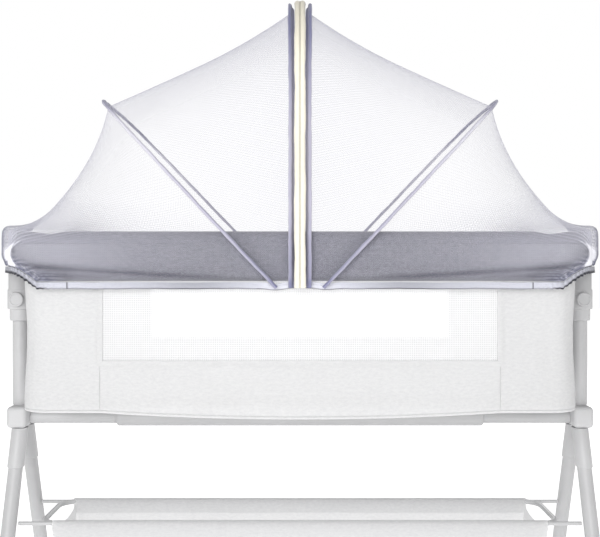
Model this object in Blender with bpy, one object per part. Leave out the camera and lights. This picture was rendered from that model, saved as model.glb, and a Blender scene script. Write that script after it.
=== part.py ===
"""Mosquito net stretched over a bedside cradle, metres, +Z up, floor at z = 0."""

import math

import bmesh
import bpy
import numpy as np

GAP = 0.0003

# padded rail round the top of the cradle
RAIL_LENGTH = 0.918
RAIL_WIDTH = 0.507
RAIL_TOP = 0.7525
RAIL_HEIGHT = 0.077
RAIL_DEPTH = 0.040
RAIL_CORNER = 0.060
RAIL_ROUNDING = 0.017
RAIL_BOTTOM = RAIL_TOP - RAIL_HEIGHT

# each end's padding, cloth and hem are drawn up round the corners
RAIL_LIFT = 0.026
RAIL_LIFT_X = 0.399
HEM_LIFT = 0.024
HEM_LIFT_X = 0.405
LIFT_RUN = 0.053

# net: hoops are measured along the seam that carries their pocket
NET_THICKNESS = 0.0012
CLEARANCE = 0.0026
EDGE_EASE = 0.013
EDGE_LIFT = 0.002
SEAM_Y = RAIL_WIDTH / 2 + CLEARANCE
HOOP_FOOT_Z = 0.665
CENTRE_HOOP_HEIGHT = 0.4715
CENTRE_SEAM_X = 0.0105
SIDE_HOOP_LENGTH = 0.424
SIDE_HOOP_SLOPE = math.radians(46.5)
SIDE_FOOT_X = 0.036
HOOP_SHOULDER_Y = 0.238
HOOP_SQUARENESS = 4.0
HOOP_STEPS = 36
POCKET_RISE = 0.0014
BINDING_WIDTH = 0.014
BINDING_BULGE = 0.0056
BINDING_BASE = 0.0022
BINDING_SPLAY = math.radians(26)
ZIP_HALF_WIDTH = 0.0112
ZIP_EDGE_RISE = 0.0105
ZIP_TOP_RISE = 0.0150
TAPE_THICKNESS = 0.0010
COIL_HALF_WIDTH = 0.0021
COIL_FLAT = 0.0012
COIL_RISE = 0.0014
UPPER_ROWS = 7
FREE_ROWS = 5
LYING_ROWS = 10
UPPER_PULL = 0.7
END_PULL = 1.6
LYING_PULL = 0.1
LEDGE_SHARE = 0.62
LEDGE_NEAR = 0.02
LEDGE_NEAR_SHARE = 0.45
CLIMB_START_X = 0.42
CLIMB_HALF_Y = 0.20
CROWD_Y = 0.035

# hem
HEM_TOP = 0.6734
HEM_HEIGHT = 0.0104
HEM_THICKNESS = 0.0016
HEM_SEAM_X = 0.359
HEM_SLACK = 0.0012

# cradle body of pale cloth
BODY_LENGTH = 0.880
BODY_WIDTH = 0.486
BODY_CORNER = 0.050
BODY_BOTTOM = 0.475
BODY_SAG = 0.010
CLOTH = 0.003
MESH = 0.0012
WINDOW_HALF_X = 0.311
WINDOW_BOTTOM = 0.547
BOARD_TOP = 0.497
BOARD_THICKNESS = 0.018

# legs
POST_X = 0.507
TUBE_R = 0.0125
BRACKET_TOP = 0.7680
BRACKET_BOTTOM = 0.600
BRACKET_R = 0.0175
BRACKET_LIP = 0.004
BRACKET_ROUNDING = 0.010
ARM_REACH = 0.5350
ARM_HALF_X = 0.0380
ARM_HALF_Y = 0.0240
ARM_BOTTOM = 0.690
ARM_INSIDE_Y = 0.016
CAP_R = 0.0200
CAP_TOP = 0.7555
HUB_X = 0.504
HUB_TOP = 0.448
HUB_BOTTOM = 0.410
HUB_HALF_X = 0.0175
HUB_HALF_Y = 0.036
HUB_ROUNDING = 0.005
LEG_X = 0.501
LEG_TOP_Y = 0.0185
LEG_FOOT_Y = 0.175
SLEEVE_R = 0.0145
FOOT_HEIGHT = 0.026
FOOT_R = 0.020
BUTTON_R = 0.0135
BUTTON_Z = 0.6385
BUTTON_DEPTH = 0.0055
CROSS_Z = 0.425
CROSS_R = 0.011
CROSS_MIDDLE_R = 0.0155

# storage basket
BASKET_RIM_Z = 0.253
BASKET_TUBE_R = 0.0045
BASKET_HALF_Y = 0.0773
BASKET_HALF_X = 0.448
BASKET_CORNER = 0.035
BASKET_CLOTH_X = 0.427
BASKET_DEPTH = 0.125
BASKET_TAPER = 0.010
PIN_R = 0.0036
PIN_Y = 0.0755


def clear_scene():
    for item in list(bpy.data.objects):
        bpy.data.objects.remove(item, do_unlink=True)


def finish(name, colour, roughness, metallic=0.0):
    made = bpy.data.materials.new(name)
    made.use_nodes = True
    shader = made.node_tree.nodes["Principled BSDF"]
    shader.inputs["Base Color"].default_value = (*colour, 1.0)
    shader.inputs["Roughness"].default_value = roughness
    shader.inputs["Metallic"].default_value = metallic
    made.diffuse_color = (*colour, 1.0)
    return made


def add(name, points, faces, material, smooth_angle=40):
    """One closed piece with its own copy of the material."""
    mesh = bpy.data.meshes.new(name)
    mesh.from_pydata([tuple(map(float, p)) for p in points], [], faces)
    work = bmesh.new()
    work.from_mesh(mesh)
    bmesh.ops.recalc_face_normals(work, faces=work.faces)
    work.to_mesh(mesh)
    work.free()
    mesh.shade_smooth()
    mesh.set_sharp_from_angle(angle=math.radians(smooth_angle))
    mesh.materials.append(material.copy())
    piece = bpy.data.objects.new(name, mesh)
    bpy.context.scene.collection.objects.link(piece)
    return piece


def sheet(name, grid, thickness, material):
    """A cloth sheet: a grid of points, thickened evenly to both sides."""
    rows, columns = grid.shape[:2]
    faces = []
    for i in range(rows - 1):
        for j in range(columns - 1):
            a, b = i * columns + j, i * columns + j + 1
            c, d = b + columns, a + columns
            if j < (columns - 1) / 2:
                faces += [(a, b, c), (a, c, d)]
            else:
                faces += [(a, b, d), (b, c, d)]
    piece = add(name, grid.reshape(-1, 3), faces, material)
    solid = piece.modifiers.new("thickness", "SOLIDIFY")
    solid.thickness = thickness
    solid.offset = 0.0
    return piece


def sweep(name, path, outward, sideways, section, material, smooth_angle=40):
    """A section of (outward, sideways) points carried along a path, ends closed."""
    rings = [
        [p + u * a + v * b for a, b in section]
        for p, u, v in zip(path, outward, sideways)
    ]
    n = len(section)
    points = [point for ring in rings for point in ring]
    faces = [
        (k * n + i, k * n + (i + 1) % n, (k + 1) * n + (i + 1) % n, (k + 1) * n + i)
        for k in range(len(rings) - 1)
        for i in range(n)
    ]
    last = (len(rings) - 1) * n
    faces += [tuple(range(n)), tuple(last + i for i in reversed(range(n)))]
    return add(name, points, faces, material, smooth_angle)


def turned(name, start, end, profile, material, sides=12, flat_ends=False):
    """A round piece between two points; profile rows are (share of length, radius)."""
    start, end = np.array(start, float), np.array(end, float)
    axis = (end - start) / np.linalg.norm(end - start)
    side = np.cross(axis, (0, 1, 0) if abs(axis[1]) < 0.9 else (1, 0, 0))
    side /= np.linalg.norm(side)
    third = np.cross(axis, side)
    points = []
    for share, radius in profile:
        centre = start + (end - start) * share
        for k in range(sides):
            angle = 2 * math.pi * (k + 0.5) / sides
            p = centre + radius * (math.cos(angle) * side + math.sin(angle) * third)
            if flat_ends:
                p = p + axis * (centre[2] - p[2]) / axis[2]
            points.append(p)
    faces = [
        (r * sides + k, r * sides + (k + 1) % sides,
         (r + 1) * sides + (k + 1) % sides, (r + 1) * sides + k)
        for r in range(len(profile) - 1)
        for k in range(sides)
    ]
    last = (len(profile) - 1) * sides
    faces += [tuple(range(sides)), tuple(last + k for k in reversed(range(sides)))]
    return add(name, points, faces, material)


def block(name, low, high, material, bevel=0.0, segments=2):
    """A box between two corners, with its edges rounded."""
    (x0, y0, z0), (x1, y1, z1) = low, high
    points = [(x, y, z) for z in (z0, z1) for x, y in ((x0, y0), (x1, y0), (x1, y1), (x0, y1))]
    faces = [(0, 3, 2, 1), (4, 5, 6, 7), (0, 1, 5, 4), (1, 2, 6, 5), (2, 3, 7, 6), (3, 0, 4, 7)]
    piece = add(name, points, faces, material)
    if bevel:
        rounding = piece.modifiers.new("rounding", "BEVEL")
        rounding.width = bevel
        rounding.segments = segments
    return piece


def evenly(points, steps, bend_weight=0.0, crowding=0.0):
    """Points spread along a dense line, closer together in bends and, if asked, at y = 0."""
    points = np.asarray(points, float)
    legs = np.diff(points, axis=0)
    length = np.linalg.norm(legs, axis=1)
    heading = legs / length[:, None]
    turn = np.zeros(len(legs))
    turn[1:] = np.arccos(np.clip((heading[1:] * heading[:-1]).sum(axis=1), -1, 1))
    close = 1 + crowding * np.exp(-((points[1:, 1] / CROWD_Y) ** 2))
    total = np.concatenate([[0], np.cumsum(length * close + bend_weight * turn)])
    places = np.linspace(0, total[-1], steps + 1)
    line = np.stack([np.interp(places, total, points[:, k]) for k in range(3)], axis=1)
    return (line + line[::-1] * (1, -1, 1)) / 2


def hoop_half_width(share):
    """Half the hoop's width at a share of its length from the feet."""
    ease = min(max((share - 0.28) / 0.27, 0.0), 1.0)
    ease = ease * ease * (3 - 2 * ease)
    foot = SEAM_Y + POCKET_RISE
    straight = foot + (HOOP_SHOULDER_Y - foot) * ease
    return straight * (1 - share**HOOP_SQUARENESS) ** (1 / HOOP_SQUARENESS)


def hoop_line(foot_x, slope, length, start, steps=HOOP_STEPS):
    """Seam under one hoop, from the front hem over the top to the back hem."""
    up = np.array((-math.cos(slope), 0.0, math.sin(slope)))
    foot = np.array((-foot_x, 0.0, HOOP_FOOT_Z))
    first = start / length
    angles = np.linspace(0, math.pi / 2, 400)
    shares = first + (1 - first) * np.sin(angles)
    half = [foot + up * s * length - np.array((0, hoop_half_width(s), 0)) for s in shares]
    back = [p * (1, -1, 1) for p in reversed(half[:-1])]
    return evenly(half + back, steps, bend_weight=0.12)


def hoop_frame(line, slope):
    """Directions out of the hoop within its plane, and across that plane."""
    across = np.array((math.sin(slope), 0.0, math.cos(slope)))
    along = np.gradient(line, axis=0)
    along /= np.linalg.norm(along, axis=1)[:, None]
    outward = np.cross(along, across)
    if outward[len(line) // 2][2] < 0:
        outward = -outward
    return outward, np.tile(across, (len(line), 1))


def hull(points):
    """Convex outline of plan points, counter-clockwise."""
    points = sorted(set(map(tuple, points)))

    def chain(ordered):
        kept = []
        for p in ordered:
            while len(kept) > 1:
                (ax, ay), (bx, by) = kept[-2], kept[-1]
                if (bx - ax) * (p[1] - ay) - (by - ay) * (p[0] - ax) > 0:
                    break
                kept.pop()
            kept.append(p)
        return kept[:-1]

    return chain(points) + chain(reversed(points))


def arc(cx, cy, radius, first, last, steps):
    """Plan points on an arc, angles in degrees."""
    angles = np.radians(np.linspace(first, last, steps + 1))
    return [(cx + radius * math.cos(a), cy + radius * math.sin(a)) for a in angles]


def stretched_outline(reach):
    """Plan line of cloth pulled round one end of the rail and its leg bracket."""
    cx, cy = RAIL_LENGTH / 2 - RAIL_CORNER, RAIL_WIDTH / 2 - RAIL_CORNER
    corner = arc(-cx, -cy, RAIL_CORNER + reach, 180, 270, 24)
    bracket = arc(-POST_X, 0, BRACKET_R + BRACKET_LIP + reach, 90, 270, 24)
    corner += [(x, -y) for x, y in corner]
    side_y = RAIL_WIDTH / 2 + reach
    line = hull(corner + bracket + [(cx, -side_y), (cx, side_y)])
    left = [p for p in line if p[0] < 0]
    left.sort(key=lambda p: math.atan2(p[1], -p[0] - cx / 2))
    start = -SIDE_FOOT_X + 0.006
    return [(start, -side_y)] + left + [(start, side_y)]


def climb(x, y):
    """How far cloth has risen from the rail, 0, towards the leg bracket, 1."""
    out = min(max((-x - CLIMB_START_X) / (POST_X - CLIMB_START_X), 0.0), 1.0)
    return math.sin(math.pi / 2 * out * min(max(1.1 - abs(y) / CLIMB_HALF_Y, 0.0), 1.0))


def drawn_up(x, start):
    """How far an end has been drawn up, 0 before start, 1 round the corner."""
    return math.sin(math.pi / 2 * min(max((abs(x) - start) / LIFT_RUN, 0.0), 1.0))


def hem_height(x):
    """The hem runs level under the long sides and higher round each end."""
    return HEM_TOP + HEM_LIFT * drawn_up(x, HEM_LIFT_X)


def draw_up(piece, edge_z, still_z, start_x):
    """Lifts the edge of a piece round its end; points at still_z and beyond stay."""
    for vertex in piece.data.vertices:
        share = min(max((vertex.co.z - still_z) / (edge_z - still_z), 0.0), 1.0)
        vertex.co.z += RAIL_LIFT * share * drawn_up(vertex.co.x, start_x)


def over_ledge(seam, hem):
    """Where cloth from a seam point to a hem point bends over the rail's edge."""
    x, y, _ = hem
    top = RAIL_TOP + (BRACKET_TOP - RAIL_TOP) * climb(x, y) + CLEARANCE
    if seam[2] < top + LEDGE_NEAR:
        return seam + (hem - seam) * LEDGE_NEAR_SHARE
    kept = 1 - RAIL_ROUNDING / 2 / math.hypot(x, y)
    return np.array((x * kept, y * kept, top))


def push_out(points):
    """Moves points that lie inside the rail or a leg bracket out to its clearance."""
    x, y, z = points[..., 0], points[..., 1], points[..., 2]
    rail = (RAIL_LENGTH / 2, RAIL_WIDTH / 2, 0.0,
            RAIL_CORNER - EDGE_EASE, RAIL_TOP + EDGE_LIFT, RAIL_ROUNDING - EDGE_EASE)
    arm = (ARM_HALF_X, ARM_HALF_Y, ARM_HALF_X - ARM_REACH,
           ARM_HALF_Y * 0.8, BRACKET_TOP, BRACKET_ROUNDING)
    for half_x, half_y, centre_x, plan_r, top, rounding in (rail, arm):
        dx, dy = x - centre_x, y
        qx, qy = np.abs(dx) - half_x + plan_r, np.abs(dy) - half_y + plan_r
        outside = np.hypot(np.maximum(qx, 0), np.maximum(qy, 0))
        plan = outside + np.minimum(np.maximum(qx, qy), 0) - plan_r
        nx = np.where(outside > 0, np.maximum(qx, 0), (qx > qy) * 1.0) * np.sign(dx)
        ny = np.where(outside > 0, np.maximum(qy, 0), (qx <= qy) * 1.0) * np.sign(dy)
        size = np.maximum(np.hypot(nx, ny), 1e-9)
        nx, ny = nx / size, ny / size
        a = plan + rounding
        b = z - top + rounding
        reach = np.hypot(np.maximum(a, 0), np.maximum(b, 0))
        depth = reach + np.minimum(np.maximum(a, b), 0) - rounding
        side = np.where(reach > 1e-9, np.maximum(a, 0) / np.maximum(reach, 1e-9), (a > b) * 1.0)
        rise = np.where(reach > 1e-9, np.maximum(b, 0) / np.maximum(reach, 1e-9), (a <= b) * 1.0)
        move = np.maximum(CLEARANCE - depth, 0.0)
        x, y, z = x + nx * side * move, y + ny * side * move, z + rise * move
    return np.stack([x, y, z], axis=-1)


def stretch(first, middle, last, shares, pull, middle_share, rounds=500):
    """Cloth drawn tight from one line over another to a third, clear of the rail."""
    knots = (0.0, middle_share, 1.0)
    lines = np.array([first, middle, last])
    grid = np.array([
        [[np.interp(s, knots, lines[:, j, k]) for k in range(3)] for j in range(len(first))]
        for s in shares
    ])
    gaps = np.diff(shares)
    before, after = 1 / gaps[:-1], 1 / gaps[1:]
    total = (before + after)[:, None, None]
    pulls = np.where(shares[1:-1] <= middle_share, pull, LYING_PULL)[:, None, None]
    for _ in range(rounds):
        across = grid[:-2, 1:-1] * before[:, None, None] + grid[2:, 1:-1] * after[:, None, None]
        along = (grid[1:-1, :-2] + grid[1:-1, 2:]) / 2
        grid[1:-1, 1:-1] = (across / total + pulls * along) / (1 + pulls)
        grid[1:-1] = push_out(grid[1:-1])
    return grid


def seam_inside(line, slope, aside):
    """Edge of a net panel, just under the base of the hoop's pocket."""
    outward, across = hoop_frame(line, slope)
    return line - outward * POCKET_RISE + across * aside


def mirrored(grid):
    return grid * (-1, 1, 1)


def binding_section(splay, lean):
    """Folded tape with the hoop wire's bulge near its outer edge."""
    half, width = BINDING_BULGE / 2, BINDING_WIDTH
    shape = [
        (0.0, -BINDING_BASE / 2), (width * 0.75, -half), (width * 0.98, -half * 0.5),
        (width * 0.98, half * 0.5), (width * 0.75, half), (0.0, BINDING_BASE / 2),
    ]
    c, s = math.cos(splay), math.sin(splay)
    return [(u * c - v * s, u * s + v * c + lean) for u, v in shape]


def make_net(net, binding):
    """Two upper panels, two end panels and the pockets that hold the hoops."""
    upright = math.pi / 2
    hem_start = HEM_TOP + GAP - HOOP_FOOT_Z
    centre = hoop_line(0.0, upright, CENTRE_HOOP_HEIGHT, hem_start)
    centre_edge = seam_inside(centre, upright, 0.0) - (CENTRE_SEAM_X + 0.0002, 0, 0)
    side_start = hem_start / math.sin(SIDE_HOOP_SLOPE)
    side_up = hoop_line(SIDE_FOOT_X, SIDE_HOOP_SLOPE, SIDE_HOOP_LENGTH, side_start)
    side_upper = seam_inside(side_up, SIDE_HOOP_SLOPE, 0.0005)
    across = np.linspace(0, 1, UPPER_ROWS + 1)
    upper = stretch(centre_edge, (centre_edge + side_upper) / 2, side_upper, across, UPPER_PULL, 0.5)

    side_low = hoop_line(SIDE_FOOT_X, SIDE_HOOP_SLOPE, SIDE_HOOP_LENGTH, 0.030)
    side_lower = seam_inside(side_low, SIDE_HOOP_SLOPE, -0.0005)
    start_x = side_lower[0][0] - 0.004
    plan = [p for p in stretched_outline(CLEARANCE) if p[0] < start_x]
    plan = [(start_x, -SEAM_Y)] + plan + [(start_x, SEAM_Y)]
    hem_points = [(x, y, hem_height(x) + HEM_SLACK) for x, y in dense(plan)]
    hem_line = evenly(hem_points, HOOP_STEPS, 0.40, 3.0)
    ledge = np.array([over_ledge(a, b) for a, b in zip(side_lower, hem_line)])
    free = np.linspace(0, LEDGE_SHARE, FREE_ROWS + 1)
    lying = np.linspace(LEDGE_SHARE, 1, LYING_ROWS + 1)
    down = np.concatenate([free, lying[1:]])
    end = stretch(side_lower, ledge, hem_line, down, END_PULL, LEDGE_SHARE)

    for side, turn in (("left", np.array), ("right", mirrored)):
        sheet(f"net_upper_{side}", turn(upper), NET_THICKNESS, net)
        sheet(f"net_end_{side}", turn(end), NET_THICKNESS, net)

    pockets = (
        ("centre", 0.0, upright, CENTRE_HOOP_HEIGHT, -BINDING_SPLAY, -CENTRE_SEAM_X),
        ("side", SIDE_FOOT_X, SIDE_HOOP_SLOPE, SIDE_HOOP_LENGTH, 0.0, 0.0),
    )
    for name, foot, slope, length, splay, lean in pockets:
        line = hoop_line(foot, slope, length, 0.0)
        outward, across = hoop_frame(line, slope)
        section = binding_section(splay, lean)
        for side, sign in (("left", 1), ("right", -1)):
            flip = (sign, 1, 1)
            sweep(f"binding_{name}_{side}", line * flip, outward * flip, across * flip, section, binding)


def dense(plan, step=0.004):
    """The same plan line with points closer together."""
    made = []
    for (ax, ay), (bx, by) in zip(plan, plan[1:]):
        count = max(1, int(math.hypot(bx - ax, by - ay) / step))
        made += [(ax + (bx - ax) * k / count, ay + (by - ay) * k / count) for k in range(count)]
    return made + [plan[-1]]


def make_zip(cloth):
    """Two zip tapes between the centre hoops, with the closed coil on top."""
    line = hoop_line(0.0, math.pi / 2, CENTRE_HOOP_HEIGHT, 0.0)
    outward, across = hoop_frame(line, math.pi / 2)
    low, high, thick = ZIP_EDGE_RISE, ZIP_TOP_RISE, TAPE_THICKNESS
    inner, outer = COIL_HALF_WIDTH + GAP, ZIP_HALF_WIDTH
    tape = [(low, outer), (high, inner), (high - thick, inner), (low - thick, outer - thick)]
    for side, sign in (("left", -1), ("right", 1)):
        sweep(f"zip_tape_{side}", line, outward, across * sign, tape, cloth)
    half, top = COIL_HALF_WIDTH, high + COIL_RISE
    coil = [(top, -COIL_FLAT), (top, COIL_FLAT), (high, half),
            (high - thick, half), (high - thick, -half), (high, -half)]
    sweep("zip_coil", line, outward, across, coil, cloth)


def make_hem(tape):
    """Flat hem tape front and back, gathered elastic round each end."""
    bottom, half = -HEM_HEIGHT, HEM_THICKNESS / 2
    section = [(half, 0.0), (half, bottom), (-half, bottom), (-half, 0.0)]
    for name, sign in (("front", -1), ("back", 1)):
        xs = np.linspace(-HEM_SEAM_X, HEM_SEAM_X, 13)
        path = np.array([(x, sign * SEAM_Y, HEM_TOP) for x in xs])
        outward = np.tile((0, sign, 0), (len(xs), 1))
        up = np.tile((0, 0, 1), (len(xs), 1))
        sweep(f"hem_tape_{name}", path, outward, up, section, tape)
    plan = [p for p in stretched_outline(CLEARANCE) if p[0] < -HEM_SEAM_X - GAP]
    plan = [(-HEM_SEAM_X - GAP, -SEAM_Y)] + plan + [(-HEM_SEAM_X - GAP, SEAM_Y)]
    line = evenly([(x, y, hem_height(x)) for x, y in dense(plan)], HOOP_STEPS, 0.08)
    along = np.gradient(line * (1, 1, 0), axis=0)
    along /= np.linalg.norm(along, axis=1)[:, None]
    outward = np.stack([-along[:, 1], along[:, 0], along[:, 2]], axis=1)
    outward[0], outward[-1] = (0, -1, 0), (0, 1, 0)
    if outward[len(line) // 2][0] > 0:
        outward = -outward
        outward[0], outward[-1] = (0, -1, 0), (0, 1, 0)
    up = np.tile((0, 0, 1), (len(line), 1))
    for side, sign in (("left", 1), ("right", -1)):
        flip = (sign, 1, 1)
        sweep(f"hem_elastic_{side}", line * flip, outward * flip, up, section, tape)


def rounded_section(depth, height, rounding, steps=2):
    """Cross-section with rounded corners, as (outward, up) points."""
    a, b = depth / 2 - rounding, height / 2 - rounding
    return [
        point
        for cx, cy, first in ((a, b, 0), (-a, b, 90), (-a, -b, 180), (a, -b, 270))
        for point in arc(cx, cy, rounding, first, first + 90, steps)
    ]


def plan_sweep(name, plan, z, section, material):
    """A section carried along a level plan line; outward is to the line's right."""
    path = np.array([(x, y, z) for x, y in plan])
    along = np.gradient(path, axis=0)
    along /= np.linalg.norm(along, axis=1)[:, None]
    outward = np.stack([along[:, 1], -along[:, 0], along[:, 2]], axis=1)
    for end in (0, -1):
        square = np.abs(outward[end]) == np.abs(outward[end]).max()
        outward[end] = np.sign(outward[end]) * square
    turn = np.array([
        1 / max(0.2, math.cos(math.acos(min(1, float(np.dot(a, b)))) / 2))
        for a, b in zip(np.vstack([along[:1], along[:-1]]), np.vstack([along[1:], along[-1:]]))
    ])
    turn[0] = turn[-1] = 1
    up = np.tile((0, 0, 1), (len(path), 1))
    return sweep(name, path, outward * turn[:, None] ** 0.25, up, section, material)


def end_plan(length, width, corner, inset, start_x, steps):
    """C-shaped plan line round the left end, back to front, inset from the outline."""
    cx, cy, r = length / 2 - corner, width / 2 - corner, corner - inset
    top = arc(-cx, cy, r, 90, 180, steps)
    low = arc(-cx, -cy, r, 180, 270, steps)
    y = width / 2 - inset
    lead = [(-start_x, y)] if start_x < cx - 0.001 else []
    return lead + top + low + [(x, -v) for x, v in lead]


def make_rail(padding):
    """Padded band round the cradle's top edge, in four lengths."""
    z = RAIL_TOP - RAIL_HEIGHT / 2
    section = rounded_section(RAIL_DEPTH, RAIL_HEIGHT, RAIL_ROUNDING)
    half_depth = RAIL_DEPTH / 2
    straight = RAIL_LENGTH / 2 - RAIL_CORNER
    y = RAIL_WIDTH / 2 - half_depth
    plan_sweep("rail_front", [(-straight + GAP, -y), (straight - GAP, -y)], z, section, padding)
    plan_sweep("rail_back", [(straight - GAP, y), (-straight + GAP, y)], z, section, padding)
    left = end_plan(RAIL_LENGTH, RAIL_WIDTH, RAIL_CORNER, half_depth, straight, 5)
    for side, sign in (("left", 1), ("right", -1)):
        plan = [(sign * x, sign * v) for x, v in left]
        draw_up(plan_sweep(f"rail_{side}", plan, z, section, padding),
                RAIL_BOTTOM, RAIL_TOP - RAIL_ROUNDING, RAIL_LIFT_X)


def make_body(cloth, mesh_cloth, board):
    """Pale cloth sides with a mesh window front and back, over a flat base board."""
    top = RAIL_BOTTOM - GAP
    y = BODY_WIDTH / 2 - CLOTH / 2
    height = top - BODY_BOTTOM
    section = [(CLOTH / 2, 0), (-CLOTH / 2, 0), (-CLOTH / 2, height), (CLOTH / 2, height)]
    left = end_plan(BODY_LENGTH, BODY_WIDTH, BODY_CORNER, CLOTH / 2, WINDOW_HALF_X, 5)
    for side, sign in (("left", 1), ("right", -1)):
        plan = [(sign * x, sign * v) for x, v in left]
        draw_up(plan_sweep(f"body_end_{side}", plan, BODY_BOTTOM, section, cloth),
                top, BODY_BOTTOM, HEM_LIFT_X)
    xs = np.linspace(-WINDOW_HALF_X + GAP, WINDOW_HALF_X - GAP, 9)
    droop = BODY_SAG * (1 - (xs / WINDOW_HALF_X) ** 2)
    for name, sign in (("front", -1), ("back", 1)):
        low = np.array([(x, sign * y, BODY_BOTTOM - d) for x, d in zip(xs, droop)])
        high = np.array([(x, sign * y, WINDOW_BOTTOM - GAP) for x in xs])
        sheet(f"body_{name}_band", np.array([low, high]), CLOTH, cloth)
        low = np.array([(x, sign * y, WINDOW_BOTTOM) for x in xs[::4]])
        high = np.array([(x, sign * y, top) for x in xs[::4]])
        sheet(f"window_{name}", np.array([low, high]), MESH, mesh_cloth)
    inner_x, inner_y = BODY_LENGTH / 2 - CLOTH - GAP, BODY_WIDTH / 2 - CLOTH - GAP
    corner = BODY_CORNER - CLOTH
    cx, cy = inner_x - corner, inner_y - corner
    outline = [
        p
        for sx, sy, first in ((1, 1, 0), (-1, 1, 90), (-1, -1, 180), (1, -1, 270))
        for p in arc(sx * cx, sy * cy, corner, first, first + 90, 5)
    ]
    rings = [[(px, py, z) for px, py in outline] for z in (BOARD_TOP - BOARD_THICKNESS, BOARD_TOP)]
    n = len(outline)
    faces = [(i, (i + 1) % n, n + (i + 1) % n, n + i) for i in range(n)]
    faces += [tuple(reversed(range(n))), tuple(n + i for i in range(n))]
    add("base_board", rings[0] + rings[1], faces, board)


def joined(piece, other, how="UNION"):
    """Boolean of two pieces; the second is spent."""
    step = piece.modifiers.new("join", "BOOLEAN")
    step.operation = how
    step.object = other
    step.solver = "EXACT"
    other.hide_render = True
    other.display_type = "WIRE"


def make_legs(plastic, tube, rubber):
    """Each end has a bracket, a post, a hub and two splayed legs with feet."""
    lip_r = BRACKET_R + BRACKET_LIP
    socket_profile = [
        (0, BRACKET_R - 0.001), (0.01, BRACKET_R), (0.13, BRACKET_R), (0.135, lip_r),
        (0.36, lip_r), (0.37, CAP_R), (0.90, CAP_R),
        (0.955, CAP_R * 0.84), (0.988, CAP_R * 0.5), (1, CAP_R * 0.2),
    ]
    leg_profile = [(0, SLEEVE_R), (0.17, SLEEVE_R), (0.18, TUBE_R), (1, TUBE_R)]
    foot_profile = [(0, FOOT_R - 0.002), (0.12, FOOT_R), (0.8, FOOT_R), (1, FOOT_R - 0.003)]
    button_profile = [(0, BUTTON_R), (0.6, BUTTON_R), (1, BUTTON_R * 0.8)]
    for side, sign in (("left", -1), ("right", 1)):
        x, hub_x, leg_x = sign * POST_X, sign * HUB_X, sign * LEG_X
        socket = turned(f"leg_bracket_{side}", (x, 0, BRACKET_BOTTOM), (x, 0, CAP_TOP),
                        socket_profile, plastic, sides=16)
        near, far = sorted((sign * (RAIL_LENGTH / 2 + GAP), sign * (POST_X - 0.005)))
        arm = block(f"arm_{side}", (near, -ARM_INSIDE_Y, ARM_BOTTOM),
                    (far, ARM_INSIDE_Y, CAP_TOP - 0.003), plastic)
        joined(socket, arm)
        button_y = -lip_r - GAP
        turned(f"leg_button_{side}", (x, button_y, BUTTON_Z), (x, button_y - BUTTON_DEPTH, BUTTON_Z),
               button_profile, plastic)
        turned(f"leg_post_{side}", (x, 0, HUB_TOP + GAP), (x, 0, BRACKET_BOTTOM - GAP),
               [(0, TUBE_R), (1, TUBE_R)], tube)
        block(f"leg_hub_{side}", (hub_x - HUB_HALF_X, -HUB_HALF_Y, HUB_BOTTOM),
              (hub_x + HUB_HALF_X, HUB_HALF_Y, HUB_TOP), plastic, bevel=HUB_ROUNDING)
        for name, turn in (("front", -1), ("back", 1)):
            foot_y = turn * LEG_FOOT_Y
            turned(f"leg_{name}_{side}", (leg_x, turn * LEG_TOP_Y, HUB_BOTTOM - GAP),
                   (leg_x, foot_y, FOOT_HEIGHT + GAP), leg_profile, tube, flat_ends=True)
            turned(f"foot_{name}_{side}", (leg_x, foot_y, 0), (leg_x, foot_y, FOOT_HEIGHT),
                   foot_profile, rubber)
    inner = HUB_X - HUB_HALF_X - GAP
    thin, thick = CROSS_R, CROSS_MIDDLE_R
    turned("cross_tube", (-inner, 0, CROSS_Z), (inner, 0, CROSS_Z),
           [(0, thin), (0.165, thin), (0.17, thick), (0.83, thick), (0.835, thin), (1, thin)], tube)


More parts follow.
